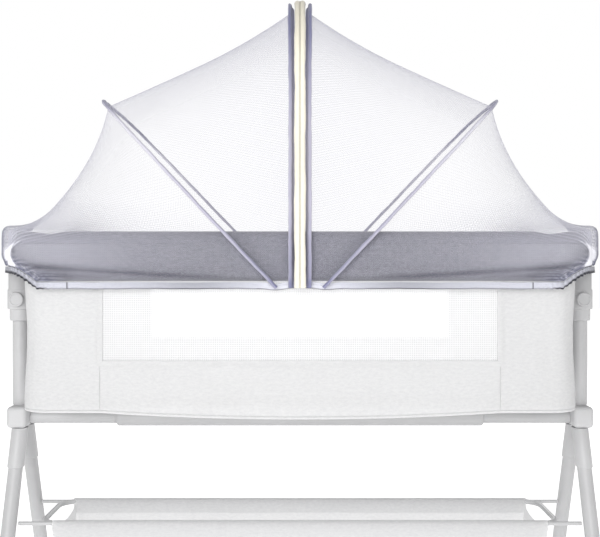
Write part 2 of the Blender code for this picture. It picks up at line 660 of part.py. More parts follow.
def make_basket(cloth, tube):
    """Cloth storage basket on a tube rim between the legs."""
    r, z = BASKET_TUBE_R, BASKET_RIM_Z
    straight = BASKET_HALF_X - BASKET_CORNER
    for name, sign in (("front", -1), ("back", 1)):
        y = sign * BASKET_HALF_Y
        turned(f"basket_bar_{name}", (-straight + GAP, y, z), (straight - GAP, y, z),
               [(0, r), (1, r)], tube, 8)
    section = arc(0, 0, r, 22.5, 337.5, 7)
    left = end_plan(2 * BASKET_HALF_X, 2 * BASKET_HALF_Y, BASKET_CORNER, 0, straight, 4)
    # each pin runs from inside the loop's rounded corner to the leg beside it
    pin_start = straight + math.sqrt(BASKET_CORNER**2 - (PIN_Y - BASKET_HALF_Y + BASKET_CORNER) ** 2)
    pin_end = LEG_X - TUBE_R - GAP
    for side, sign in (("left", 1), ("right", -1)):
        plan = [(sign * px, sign * py) for px, py in left]
        loop = plan_sweep(f"basket_loop_{side}", plan, z, section, tube)
        for end, y in (("front", -PIN_Y), ("back", PIN_Y)):
            pin = turned(f"pin_{end}_{side}", (-sign * pin_start, y, z), (-sign * pin_end, y, z),
                         [(0, PIN_R), (1, PIN_R)], tube, 8)
            joined(loop, pin)
    top, low = z - r - GAP, z - BASKET_DEPTH
    wall_y, floor_y = BASKET_HALF_Y - 0.001, BASKET_HALF_Y - BASKET_TAPER
    wall_x, floor_x = BASKET_CLOTH_X, BASKET_CLOTH_X - BASKET_TAPER
    for name, sign in (("front", -1), ("back", 1)):
        grid = np.array([
            [(-floor_x, sign * floor_y, low), (floor_x, sign * floor_y, low)],
            [(-wall_x, sign * wall_y, top), (wall_x, sign * wall_y, top)],
        ])
        sheet(f"basket_wall_{name}", grid, CLOTH, cloth)
    inner_top, inner_low = wall_y - CLOTH, floor_y - CLOTH
    for name, sign in (("left", -1), ("right", 1)):
        edge = CLOTH / 2 + GAP
        grid = np.array([
            [(sign * (floor_x - edge), -inner_low, low), (sign * (floor_x - edge), inner_low, low)],
            [(sign * (wall_x - edge), -inner_top, top), (sign * (wall_x - edge), inner_top, top)],
        ])
        sheet(f"basket_wall_{name}", grid, CLOTH, cloth)
    block("basket_floor", (-floor_x, -floor_y, low - 2 * CLOTH), (floor_x, floor_y, low - CLOTH - GAP), cloth)


def main():
    clear_scene()
    net = finish("white net", (0.86, 0.86, 0.92), 0.8)
    binding = finish("lavender tape", (0.45, 0.44, 0.55), 0.8)
    cream = finish("cream zip", (0.90, 0.86, 0.74), 0.7)
    hem = finish("white tape", (0.80, 0.80, 0.87), 0.8)
    padding = finish("grey heather padding", (0.28, 0.28, 0.31), 0.9)
    cloth = finish("pale heather cloth", (0.78, 0.78, 0.79), 0.9)
    mesh_cloth = finish("pale mesh", (0.88, 0.88, 0.88), 0.9)
    plastic = finish("pale moulded plastic", (0.70, 0.70, 0.71), 0.5)
    tube = finish("pale coated tube", (0.64, 0.64, 0.65), 0.45)
    rubber = finish("grey rubber", (0.45, 0.45, 0.46), 0.8)
    make_net(net, binding)
    make_zip(cream)
    make_hem(hem)
    make_rail(padding)
    make_body(cloth, mesh_cloth, padding)
    make_legs(plastic, tube, rubber)
    make_basket(cloth, tube)


main()
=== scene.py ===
import math

import bmesh
import bpy
import numpy as np
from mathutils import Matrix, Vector


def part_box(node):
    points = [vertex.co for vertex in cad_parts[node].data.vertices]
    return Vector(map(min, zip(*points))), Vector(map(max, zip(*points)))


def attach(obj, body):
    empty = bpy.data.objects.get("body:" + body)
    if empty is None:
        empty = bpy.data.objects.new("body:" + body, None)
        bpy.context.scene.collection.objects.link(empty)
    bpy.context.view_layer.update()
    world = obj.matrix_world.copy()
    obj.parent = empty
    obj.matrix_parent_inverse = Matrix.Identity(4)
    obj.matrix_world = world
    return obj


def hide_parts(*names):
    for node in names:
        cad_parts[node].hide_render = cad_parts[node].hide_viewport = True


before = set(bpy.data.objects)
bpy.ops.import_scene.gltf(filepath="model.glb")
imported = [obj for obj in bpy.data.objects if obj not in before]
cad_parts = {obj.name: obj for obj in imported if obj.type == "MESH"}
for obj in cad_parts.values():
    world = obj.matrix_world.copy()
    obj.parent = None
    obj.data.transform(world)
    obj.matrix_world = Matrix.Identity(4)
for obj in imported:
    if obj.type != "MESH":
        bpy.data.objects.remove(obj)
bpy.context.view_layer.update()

print("frame loaded:", len(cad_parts), "nodes")

# sizes taken from the frame's own boxes
railHalfX, railHalfY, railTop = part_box("rail_right")[1]
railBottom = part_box("rail_left")[0].z
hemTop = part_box("hem_tape_front")[1].z
bodyHalfX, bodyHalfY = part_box("body_end_right")[1].x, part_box("body_end_right")[1].y
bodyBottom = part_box("body_end_left")[0].z
postX = (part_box("leg_post_right")[0].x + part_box("leg_post_right")[1].x) / 2
bracketBottom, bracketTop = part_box("leg_bracket_left")[0].z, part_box("leg_bracket_left")[1].z


def hexToLinear(code):
    parts = [int(code[k:k + 2], 16) / 255 for k in (1, 3, 5)]
    linear = [c / 12.92 if c <= 0.04045 else ((c + 0.055) / 1.055) ** 2.4 for c in parts]
    return (*linear, 1.0)


def addNode(tree, kind, links=None, **settings):
    made = tree.nodes.new(kind)
    for key, value in settings.items():
        setattr(made, key, value)
    for socket, source in (links or {}).items():
        if isinstance(source, bpy.types.Node):
            source = source.outputs[0]
        if isinstance(source, bpy.types.NodeSocket):
            tree.links.new(source, made.inputs[socket])
        else:
            made.inputs[socket].default_value = source
    return made


def startMaterial(name, colour, roughness, sheen=0.0):
    made = bpy.data.materials.new(name)
    made.use_nodes = True
    tree = made.node_tree
    shader = tree.nodes["Principled BSDF"]
    for socket, value in (("Base Color", hexToLinear(colour)), ("Roughness", roughness),
                          ("IOR", 1.5), ("Sheen Weight", sheen)):
        shader.inputs[socket].default_value = value
    return made, tree, shader


def weaveHeight(tree, u, v, pitchU, pitchV):
    # crossing threads: two sine ribs, the higher one on top
    ribs = []
    for along, pitch in ((u, pitchU), (v, pitchV)):
        turn = addNode(tree, "ShaderNodeMath", {0: along, 1: 2 * math.pi / pitch}, operation="MULTIPLY")
        ribs.append(addNode(tree, "ShaderNodeMath", {0: turn}, operation="SINE"))
    return addNode(tree, "ShaderNodeMath", {0: ribs[0], 1: ribs[1]}, operation="MAXIMUM")


def uvParts(tree):
    place = addNode(tree, "ShaderNodeUVMap", uv_map="metres")
    parts = addNode(tree, "ShaderNodeSeparateXYZ", {"Vector": place})
    return place, parts.outputs[0], parts.outputs[1]


def toneParts(tree):
    # the cloth's points hold its painted shade (with dark seam marks on the hem), how crowded it lies, and
    # its painted highlights
    tones = addNode(tree, "ShaderNodeAttribute", attribute_name="tones")
    return addNode(tree, "ShaderNodeSeparateXYZ", {"Vector": tones.outputs["Vector"]}).outputs


def varySurface(tree, shader, factor, colours, height, depth, strength=0.8, spread=(0.0, 1.0), tones=None):
    # colours: low and high of the fine variation; tones: the colours of painted shade and of painted
    # highlights
    ramp = addNode(tree, "ShaderNodeValToRGB", {"Fac": factor})
    for element, place, code in zip(ramp.color_ramp.elements, spread, colours):
        element.position, element.color = place, hexToLinear(code)
    colour = ramp.outputs[0]
    if tones:
        dark, _, pale = toneParts(tree)
        for share, code in ((dark, tones[0]), (pale, tones[1])):
            colour = addNode(tree, "ShaderNodeMix", {"Factor": share, "A": colour, "B": hexToLinear(code)},
                             data_type="RGBA").outputs["Result"]
    tree.links.new(colour, shader.inputs["Base Color"])
    bump = addNode(tree, "ShaderNodeBump", {"Height": height, "Distance": depth, "Strength": strength})
    tree.links.new(bump.outputs[0], shader.inputs["Normal"])
    return colour


# knitted polyester net: holes let most light through, the yarn is white with a lavender cast; its tones are
# painted shade and painted highlight
netLook = {"roughness": 0.75, "coverage": 0.070, "gathered": 0.27, "pitch": 0.0040, "yarn": 0.07,
           "slopes": (0.58, -0.58), "haze": 14.0, "soft": 0.08, "thread": 1.15, "hole": 0.53,
           "edge": 0.08, "layered": (1.8, 4.2),
           "colours": ("#d2d1e2", "#e2e1f0"), "tones": ("#54566e", "#fdfdff")}


def knittedPolyesterNet(look=netLook):
    made, tree, shader = startMaterial("knitted polyester net", look["colours"][1], look["roughness"],
                                       sheen=0.2)
    place, u, v = uvParts(tree)
    # real meshes are 1.6 mm across, drawn at 4 mm so that they show
    threads = []
    for slope in look["slopes"]:
        lean = addNode(tree, "ShaderNodeMath", {0: v, 1: slope, 2: u}, operation="MULTIPLY_ADD")
        turns = addNode(tree, "ShaderNodeMath", {0: lean, 1: look["pitch"]}, operation="DIVIDE")
        near = addNode(tree, "ShaderNodeMath", {0: turns, 1: 0.5}, operation="PINGPONG")
        threads.append(addNode(tree, "ShaderNodeMapRange", {
            "Value": near, "From Min": look["yarn"], "From Max": look["yarn"] + look["soft"],
            "To Min": 1.0, "To Max": 0.0}, interpolation_type="SMOOTHSTEP"))
    mesh = addNode(tree, "ShaderNodeMath", {0: threads[0], 1: threads[1]}, operation="MAXIMUM")
    # the elastic crowds the meshes together on the rail towards each end, and the cloth is made denser under
    # painted shade so that the shade shows
    hole = addNode(tree, "ShaderNodeMath", {
        0: toneParts(tree)[1], 1: look["coverage"] - look["gathered"], 2: 1 - look["coverage"]},
        operation="MULTIPLY_ADD", use_clamp=True)
    # seen at a slant the yarns close up, as in any net
    slant = addNode(tree, "ShaderNodeLayerWeight", {"Blend": 0.5})
    facing = addNode(tree, "ShaderNodeMath", {0: 1.0, 1: slant.outputs["Facing"]}, operation="SUBTRACT")
    facing = addNode(tree, "ShaderNodeMath", {0: facing, 1: look["edge"]}, operation="MAXIMUM")
    layers = addNode(tree, "ShaderNodeMath", {0: 1.0, 1: facing}, operation="DIVIDE")
    clear = addNode(tree, "ShaderNodeMath", {0: hole, 1: layers}, operation="POWER")
    cover = addNode(tree, "ShaderNodeMath", {0: 1.0, 1: clear}, operation="SUBTRACT")
    share = addNode(tree, "ShaderNodeMath", {0: mesh, 1: look["thread"], 2: look["hole"]},
                    operation="MULTIPLY_ADD")
    # where the cloth is folded over and over, and under the painted white highlight round the rail's end, no
    # hole is left
    share = addNode(tree, "ShaderNodeMapRange", {
        "Value": toneParts(tree)[1], "From Min": look["layered"][0], "From Max": look["layered"][1],
        "To Min": share, "To Max": 1.0})
    alpha = addNode(tree, "ShaderNodeMath", {0: cover, 1: share}, operation="MULTIPLY", use_clamp=True)
    tree.links.new(alpha.outputs[0], shader.inputs["Alpha"])
    haze = addNode(tree, "ShaderNodeTexNoise", {"Vector": place, "Scale": look["haze"], "Detail": 3.0})
    varySurface(tree, shader, haze, look["colours"], mesh, 0.0002, 0.6, tones=look["tones"])
    return made


# folded polyester tape: fine cross ribs, a stitched line along the wire's channel; its tones are painted
# shade and painted highlight
tapeLook = {"colours": ("#aeabbb", "#c8c5d2"), "tones": ("#363f78", "#ffffff"), "roughness": 0.7,
            "rib": 0.0011, "stitch": 0.0032, "stitchAt": 0.0055, "dash": 0.32, "thread": 0.00045,
            "raised": 2.5, "fibres": 900.0}


def foldedPolyesterTape(look=tapeLook):
    made, tree, shader = startMaterial("folded polyester tape", look["colours"][1], look["roughness"],
                                       sheen=0.3)
    place, u, v = uvParts(tree)
    fibres = addNode(tree, "ShaderNodeTexNoise", {"Vector": place, "Scale": look["fibres"], "Detail": 2.0})
    ribs = weaveHeight(tree, u, v, look["rib"], look["rib"] * 1.6)
    turns = addNode(tree, "ShaderNodeMath", {0: u, 1: look["stitch"]}, operation="DIVIDE")
    dash = addNode(tree, "ShaderNodeMath", {0: turns, 1: 0.5}, operation="PINGPONG")
    dashes = addNode(tree, "ShaderNodeMath", {0: dash, 1: look["dash"]}, operation="LESS_THAN")
    off = addNode(tree, "ShaderNodeMath", {0: v, 1: look["stitchAt"]}, operation="SUBTRACT")
    off = addNode(tree, "ShaderNodeMath", {0: off}, operation="ABSOLUTE")
    line = addNode(tree, "ShaderNodeMath", {0: off, 1: look["thread"]}, operation="LESS_THAN")
    stitch = addNode(tree, "ShaderNodeMath", {0: line, 1: dashes}, operation="MULTIPLY")
    raised = addNode(tree, "ShaderNodeMath", {0: stitch, 1: look["raised"], 2: ribs},
                     operation="MULTIPLY_ADD")
    varySurface(tree, shader, fibres, look["colours"], raised, 0.00015, 0.7, tones=look["tones"])
    return made


def letLightThrough(tree, shader, colour, share):
    # thin pale cloth glows with the light behind it
    behind = addNode(tree, "ShaderNodeBsdfTranslucent", {"Color": colour})
    both = addNode(tree, "ShaderNodeMixShader", {0: share, 1: shader, 2: behind})
    tree.links.new(both.outputs[0], tree.nodes["Material Output"].inputs["Surface"])


def wovenTape(name, colours, rib, roughness=0.7, tones=None):
    made, tree, shader = startMaterial(name, colours[1], roughness, sheen=0.2)
    place, u, v = uvParts(tree)
    fibres = addNode(tree, "ShaderNodeTexNoise", {"Vector": place, "Scale": 260.0, "Detail": 4.0})
    ribs = weaveHeight(tree, u, v, rib, rib * 0.7)
    varySurface(tree, shader, fibres, colours, ribs, 0.00015, tones=tones)
    return made


# melange knit over foam: grey and pale fibres in short slubs, a fine knit grain
def heatherKnit(name, colours, grain, slub, through=0.0, tones=None):
    made, tree, shader = startMaterial(name, colours[1], 0.9, sheen=0.35)
    place, u, v = uvParts(tree)
    longer = addNode(tree, "ShaderNodeMapping", {"Vector": place, "Scale": (0.5, 1.0, 1.0)})
    slubs = addNode(tree, "ShaderNodeTexNoise", {"Vector": longer, "Scale": 1 / slub, "Detail": 5.0,
                                                 "Roughness": 0.75})
    colour = varySurface(tree, shader, slubs, colours, weaveHeight(tree, u, v, grain, grain), 0.00025,
                         spread=(0.32, 0.68), tones=tones)
    if through:
        letLightThrough(tree, shader, colour, through)
    return made


# spacer mesh of the windows: small round holes in rows, almost clear from a step away
meshLook = {"colours": ("#f6f6f7", "#fdfdfe"), "pitch": 0.0034, "alpha": 0.58, "contrast": 0.14}


def spacerMesh(look=meshLook):
    made, tree, shader = startMaterial("polyester spacer mesh", look["colours"][1], 0.8, sheen=0.2)
    place, u, v = uvParts(tree)
    holes = weaveHeight(tree, u, v, look["pitch"], look["pitch"])
    alpha = addNode(tree, "ShaderNodeMapRange", {
        "Value": holes, "From Min": -0.6, "From Max": 0.9,
        "To Min": look["alpha"] * (1 - look["contrast"]), "To Max": look["alpha"] * (1 + look["contrast"])})
    tree.links.new(alpha.outputs[0], shader.inputs["Alpha"])
    cloudy = addNode(tree, "ShaderNodeTexNoise", {"Vector": place, "Scale": 120.0, "Detail": 3.0})
    varySurface(tree, shader, cloudy, look["colours"], holes, 0.0003, 0.5)
    return made


# hard parts: moulded polypropylene, powder coat over steel tube, moulded rubber
def grainedSurface(name, colours, roughness, grain, depth):
    made, tree, shader = startMaterial(name, colours[1], roughness)
    spot = addNode(tree, "ShaderNodeTexCoord")
    speck = addNode(tree, "ShaderNodeTexNoise", {"Vector": spot.outputs["Object"], "Scale": 1 / grain,
                                                 "Detail": 3.0, "Roughness": 0.6})
    patch = addNode(tree, "ShaderNodeTexNoise", {"Vector": spot.outputs["Object"], "Scale": 18.0,
                                                 "Detail": 4.0})
    worn = addNode(tree, "ShaderNodeMapRange", {"Value": patch.outputs[0], "To Min": roughness - 0.08,
                                                "To Max": roughness + 0.10})
    tree.links.new(worn.outputs[0], shader.inputs["Roughness"])
    varySurface(tree, shader, patch, colours, speck, depth, 0.6)
    return made


# colours of painted shade and of painted highlights
zipTones, hemTones, railTones = ("#8f8b80", "#ffffff"), ("#23242f", "#ffffff"), ("#2a2a3a", "#c4c4cb")
netCloth = knittedPolyesterNet()
tapeCloth = foldedPolyesterTape()
zipTapeCloth = wovenTape("woven polyester zip tape", ("#ece6d3", "#f8f3e3"), 0.0014, tones=zipTones)
coilNylon = wovenTape("nylon zip coil", ("#dcd7c6", "#e9e4d4"), 0.0014, roughness=0.45, tones=zipTones)
hemCloth = wovenTape("woven polyester hem tape", ("#c9cad7", "#dcdde6"), 0.0012, tones=hemTones)
railCloth = heatherKnit("grey melange knit", ("#6a6a73", "#86868e"), 0.0030, 0.004, tones=railTones)
bodyCloth = heatherKnit("pale melange linen", ("#e2e2e3", "#eeeeee"), 0.0018, 0.004, through=0.3)
basketCloth = heatherKnit("pale grey melange linen", ("#e6e6e7", "#f2f2f2"), 0.0018, 0.004, through=0.5)
windowCloth = spacerMesh()
mouldedPlastic = grainedSurface("moulded polypropylene", ("#b7b7b8", "#c4c4c5"), 0.5, 0.0012, 0.00005)
coatedTube = grainedSurface("powder coat on steel tube", ("#b2b2b3", "#bebebf"), 0.38, 0.0025, 0.00004)
rubber = grainedSurface("moulded rubber", ("#8f8f90", "#9c9c9d"), 0.75, 0.0008, 0.00008)
print("materials made")


def runLength(grid, axis):
    steps = np.linalg.norm(np.diff(grid, axis=axis), axis=2)
    total = np.cumsum(steps, axis=axis)
    return np.concatenate([np.zeros_like(np.take(total, [0], axis=axis)), total], axis=axis)


def gridPiece(name, grid, material, around=False, loop=False, caps=False, panel=False, sharp=60):
    # rows of points make quads; around closes each row, loop joins the last row to the first
    rows, columns = grid.shape[:2]
    full = grid
    if around:
        full = np.concatenate([full, full[:, :1]], axis=1)
    if loop:
        full = np.concatenate([full, full[:1]], axis=0)
    if panel:
        u = np.tile(runLength(full, 1).mean(axis=0), (full.shape[0], 1))
        v = runLength(full, 0)
    else:
        u = np.tile(runLength(full, 0).mean(axis=1)[:, None], (1, full.shape[1]))
        v = np.tile(runLength(full, 1).mean(axis=0), (full.shape[0], 1))
    places = np.stack([u, v], axis=2)
    faces, uvs = [], []
    for i in range(full.shape[0] - 1):
        a, b = i * columns, (i + 1) % rows * columns
        for j in range(full.shape[1] - 1):
            k = (j + 1) % columns
            faces.append((a + j, a + k, b + k, b + j))
            uvs += [places[i, j], places[i, j + 1], places[i + 1, j + 1], places[i + 1, j]]
    if caps:
        last = (rows - 1) * columns
        faces += [tuple(reversed(range(columns))), tuple(last + k for k in range(columns))]
        uvs += [places[0, k] for k in reversed(range(columns))] + [places[-1, k] for k in range(columns)]
    return meshPiece(name, grid.reshape(-1, 3), faces, material, uvs, sharp)


def placeObject(name, data):
    made = bpy.data.objects.new(name, data)
    bpy.context.scene.collection.objects.link(made)
    return made


def meshPiece(name, points, faces, material, uvs=None, sharp=60):
    mesh = bpy.data.meshes.new(name)
    mesh.from_pydata([tuple(map(float, p)) for p in points], [], faces)
    if uvs is not None:
        layer = mesh.uv_layers.new(name="metres")
        layer.data.foreach_set("uv", np.asarray(uvs, np.float32).ravel())
    work = bmesh.new()
    work.from_mesh(mesh)
    bmesh.ops.recalc_face_normals(work, faces=work.faces)
    work.to_mesh(mesh)
    work.free()
    mesh.shade_smooth()
    mesh.set_sharp_from_angle(angle=math.radians(sharp))
    mesh.materials.append(material)
    return placeObject(name, mesh)


def dress(piece, slot, *nodes):
    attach(piece, "root")
    if nodes:
        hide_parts(*nodes)
    return piece


def ramp(value, low, high):
    # 0 at low and 1 at high, where low may be the greater
    return np.clip((value - low) / (high - low), 0, 1)


def smooth(value, low, high):
    share = ramp(value, low, high)
    return share * share * (3 - 2 * share)


def mound(value, centre, width):
    return np.exp(-(((value - centre) / width) ** 2))


def addedUp(value, rows):
    # rows: how much is added, where it starts and where it is full
    return sum(size * smooth(value, low, high) for size, low, high in rows)


def stacked(x, y, z):
    return np.stack(np.broadcast_arrays(x, y, z), axis=-1)


def toneCloth(piece, shape, dark=0.0, crowd=0.0, pale=0.0):
    # painted shade (with dark seam marks), how crowded the cloth is, and painted highlight, at each point of
    # its grid
    tones = np.stack([np.broadcast_to(t, shape) for t in (dark, crowd, pale)], axis=-1)
    layer = piece.data.attributes.new("tones", "FLOAT_VECTOR", "POINT")
    layer.data.foreach_set("vector", tones.astype(np.float32).ravel())
    return piece


def ripple(s, *waves):
    # uneven sewing: a sum of (amplitude, length, start) waves along a seam
    return sum(size * np.sin(2 * math.pi * (s / length + start)) for size, length, start in waves)


# the hoops: each seam leaves the hem in front, rises over the cot and comes down behind
hoops = {"footZ": 0.665, "seamY": railHalfY + 0.0026, "rise": 0.0014, "shoulderY": 0.238,
         "squareness": 4.0, "centreHeight": 0.4715, "centreSeamX": 0.0105,
         "sideLength": 0.424, "sideSlope": math.radians(46.5), "sideFootX": 0.036, "steps": 36,
         "shoulderShare": (0.28, 0.55)}


def hoopHalfWidth(share):
    foot = hoops["seamY"] + hoops["rise"]
    straight = foot + (hoops["shoulderY"] - foot) * smooth(share, *hoops["shoulderShare"])
    return straight * (1 - share ** hoops["squareness"]) ** (1 / hoops["squareness"])


def evenly(points, steps, bendWeight=0.0, crowding=0.0, crowdY=0.035):
    points = np.asarray(points, float)
    legs = np.diff(points, axis=0)
    length = np.linalg.norm(legs, axis=1)
    heading = legs / length[:, None]
    turn = np.zeros(len(legs))
    turn[1:] = np.arccos(np.clip((heading[1:] * heading[:-1]).sum(axis=1), -1, 1))
    close = 1 + crowding * np.exp(-((points[1:, 1] / crowdY) ** 2))
    total = np.concatenate([[0], np.cumsum(length * close + bendWeight * turn)])
    places = np.linspace(0, total[-1], steps + 1)
    line = np.stack([np.interp(places, total, points[:, k]) for k in range(3)], axis=1)
    return (line + line[::-1] * (1, -1, 1)) / 2


def hoopLine(footX, slope, length, start, steps):
    up = np.array((-math.cos(slope), 0.0, math.sin(slope)))
    foot = np.array((-footX, 0.0, hoops["footZ"]))
    first = start / length
    shares = first + (1 - first) * np.sin(np.linspace(0, math.pi / 2, 900))
    half = [foot + up * s * length - np.array((0, hoopHalfWidth(s), 0)) for s in shares]
    back = [p * (1, -1, 1) for p in reversed(half[:-1])]
    return evenly(half + back, steps, bendWeight=0.12)


def hoopFrame(line, slope):
    across = np.array((math.sin(slope), 0.0, math.cos(slope)))
    along = np.gradient(line, axis=0)
    along /= np.linalg.norm(along, axis=1)[:, None]
    outward = np.cross(along, across)
    if outward[len(line) // 2][2] < 0:
        outward = -outward
    return outward, np.tile(across, (len(line), 1))


def planArc(cx, cy, radius, first, last, steps):
    angles = np.radians(np.linspace(first, last, steps + 1))
    return [(cx + radius * math.cos(a), cy + radius * math.sin(a)) for a in angles]


def planHull(points):
    points = sorted(set(map(tuple, points)))

    def chain(ordered):
        kept = []
        for p in ordered:
            while len(kept) > 1:
                (ax, ay), (bx, by) = kept[-2], kept[-1]
                if (bx - ax) * (p[1] - ay) - (by - ay) * (p[0] - ax) > 0:
                    break
                kept.pop()
            kept.append(p)
        return kept[:-1]

    return chain(points) + chain(reversed(points))


# the cloth is pulled round the rail's corners and the leg bracket at each end
ends = {"corner": 0.060, "bracketR": 0.0215, "clearance": 0.0026, "climbFrom": 0.42, "climbY": 0.20,
        "bracketTop": 0.768, "rounding": 0.017, "edgeEase": 0.013, "edgeLift": 0.002,
        "armReach": 0.535, "armHalfX": 0.038, "armHalfY": 0.024, "armRounding": 0.010,
        "railLift": 0.026, "railLiftX": 0.399, "hemLift": 0.024, "hemLiftX": 0.405, "liftRun": 0.053,
        "tuck": 0.0062, "tuckX": (0.500, 0.530), "tuckZ": (0.722, 0.700), "lying": 0.45}


def drawnUp(x, start):
    # how far an end has been drawn up: 0 before start, 1 round the corner
    return np.sin(math.pi / 2 * ramp(np.abs(x), start, start + ends["liftRun"]))


def endOutline(reach):
    cx, cy, r = railHalfX - ends["corner"], railHalfY - ends["corner"], ends["corner"] + reach
    corner = planArc(-cx, -cy, r, 180, 270, 48)
    bracket = planArc(-postX, 0, ends["bracketR"] + reach, 90, 270, 48)
    corner += [(x, -y) for x, y in corner]
    sideY = railHalfY + reach
    left = [p for p in planHull(corner + bracket + [(cx, -sideY), (cx, sideY)]) if p[0] < 0]
    left.sort(key=lambda p: math.atan2(p[1], -p[0] - cx / 2))
    start = 0.006 - hoops["sideFootX"]
    return [(start, -sideY)] + left + [(start, sideY)]


def climb(x, y):
    out = min(max((-x - ends["climbFrom"]) / (postX - ends["climbFrom"]), 0.0), 1.0)
    return math.sin(math.pi / 2 * out * min(max(1.1 - abs(y) / ends["climbY"], 0.0), 1.0))


def hemHeight(x):
    return hemTop + ends["hemLift"] * float(drawnUp(x, ends["hemLiftX"]))


def densePlan(plan, step=0.002):
    made = []
    for (ax, ay), (bx, by) in zip(plan, plan[1:]):
        count = max(1, int(math.hypot(bx - ax, by - ay) / step))
        made += [(ax + (bx - ax) * k / count, ay + (by - ay) * k / count) for k in range(count)]
    return made + [plan[-1]]


def overLedge(seam, hem):
    x, y, _ = hem
    top = railTop + (ends["bracketTop"] - railTop) * climb(x, y) + ends["clearance"]
    if seam[2] < top + 0.02:
        return seam + (hem - seam) * ends["lying"]
    kept = 1 - ends["rounding"] / 2 / math.hypot(x, y)
    return np.array((x * kept, y * kept, top))


def pushOut(points):
    # keeps cloth clear of the rail and of the bracket's arm
    x, y, z = points[..., 0], points[..., 1], points[..., 2]
    rail = (railHalfX, railHalfY, 0.0, ends["corner"] - ends["edgeEase"],
            railTop + ends["edgeLift"], ends["rounding"] - ends["edgeEase"])
    arm = (ends["armHalfX"], ends["armHalfY"], ends["armHalfX"] - ends["armReach"],
           ends["armHalfY"] * 0.8, ends["bracketTop"], ends["armRounding"])
    for halfX, halfY, centreX, planR, top, rounding in (rail, arm):
        dx, dy = x - centreX, y
        qx, qy = np.abs(dx) - halfX + planR, np.abs(dy) - halfY + planR
        outside = np.hypot(np.maximum(qx, 0), np.maximum(qy, 0))
        plan = outside + np.minimum(np.maximum(qx, qy), 0) - planR
        nx = np.where(outside > 0, np.maximum(qx, 0), (qx > qy) * 1.0) * np.sign(dx)
        ny = np.where(outside > 0, np.maximum(qy, 0), (qx <= qy) * 1.0) * np.sign(dy)
        size = np.maximum(np.hypot(nx, ny), 1e-9)
        a, b = plan + rounding, z - top + rounding
        reach = np.hypot(np.maximum(a, 0), np.maximum(b, 0))
        depth = reach + np.minimum(np.maximum(a, b), 0) - rounding
        side = np.where(reach > 1e-9, np.maximum(a, 0) / np.maximum(reach, 1e-9), (a > b) * 1.0)
        rise = np.where(reach > 1e-9, np.maximum(b, 0) / np.maximum(reach, 1e-9), (a <= b) * 1.0)
        move = np.maximum(ends["clearance"] - depth, 0.0)
        x, y, z = x + nx / size * side * move, y + ny / size * side * move, z + rise * move
    return np.stack([x, y, z], axis=-1)


def relax(grid, shares, pull, middleShare, rounds, lyingPull=0.1):
    gaps = np.diff(shares)
    before, after = (1 / gaps[:-1])[:, None, None], (1 / gaps[1:])[:, None, None]
    pulls = np.where(shares[1:-1] <= middleShare, pull, lyingPull)[:, None, None]
    for _ in range(rounds):
        across = (grid[:-2, 1:-1] * before + grid[2:, 1:-1] * after) / (before + after)
        along = (grid[1:-1, :-2] + grid[1:-1, 2:]) / 2
        grid[1:-1, 1:-1] = (across + pulls * along) / (1 + pulls)
        grid[1:-1] = pushOut(grid[1:-1])
    return grid


def finerRows(grid):
    # a smooth curve through every line of points gives the points between
    edge = np.concatenate([2 * grid[:1] - grid[1:2], grid, 2 * grid[-1:] - grid[-2:-1]])
    made = np.empty((2 * len(grid) - 1, *grid.shape[1:]))
    made[::2] = grid
    made[1::2] = (9 * (edge[1:-2] + edge[2:-1]) - edge[:-3] - edge[3:]) / 16
    return made


def finerColumns(grid):
    return finerRows(grid.transpose(1, 0, 2)).transpose(1, 0, 2)


def stretched(first, middle, last, shares, pull, middleShare):
    # first, middle and last are functions of the number of steps along the seam
    knots = (0.0, middleShare, 1.0)
    steps = hoops["steps"]
    lines = np.array([first(steps), middle(steps), last(steps)])
    grid = np.array([[[np.interp(s, knots, lines[:, j, k]) for k in range(3)]
                      for j in range(steps + 1)] for s in shares])
    grid = relax(grid, shares, pull, middleShare, 500)
    for _ in range(2):
        steps *= 2
        shares = np.sort(np.concatenate([shares, (shares[:-1] + shares[1:]) / 2]))
        grid = finerColumns(finerRows(grid))
        grid[0], grid[-1] = first(steps), last(steps)
        grid = relax(grid, shares, pull, middleShare, 40)
    return grid


# the elastic draws the cloth into small upright pleats round each end; waves as for ripple
pleats = {"fromRow": 0.72, "power": 1.6, "atX": (0.34, 0.42), "height": 0.0011,
          "waves": ((0.55, 0.0127, 0.0), (0.35, 0.0191, 0.4), (0.25, 0.0313, 0.1))}


def gathered(grid):
    grid = finerColumns(grid)
    run = runLength(grid, 1)[-1]
    rows = np.linspace(0, 1, len(grid))[:, None]
    near = ramp(rows, pleats["fromRow"], 1) ** pleats["power"]
    atEnd = ramp(np.abs(grid[-1, :, 0]), *pleats["atX"])
    wave = 1 + ripple(run, *pleats["waves"])
    normal = np.cross(np.gradient(grid, axis=1), np.gradient(grid, axis=0))
    normal /= np.maximum(np.linalg.norm(normal, axis=2), 1e-9)[..., None]
    if normal[-2, len(run) // 2, 0] > 0:
        normal = -normal
    edge = 1 - rows ** 30
    return grid + normal * (pleats["height"] * near * edge * atEnd * wave)[..., None]


def seamInside(line, slope, aside):
    outward, across = hoopFrame(line, slope)
    return line - outward * hoops["rise"] + across * aside


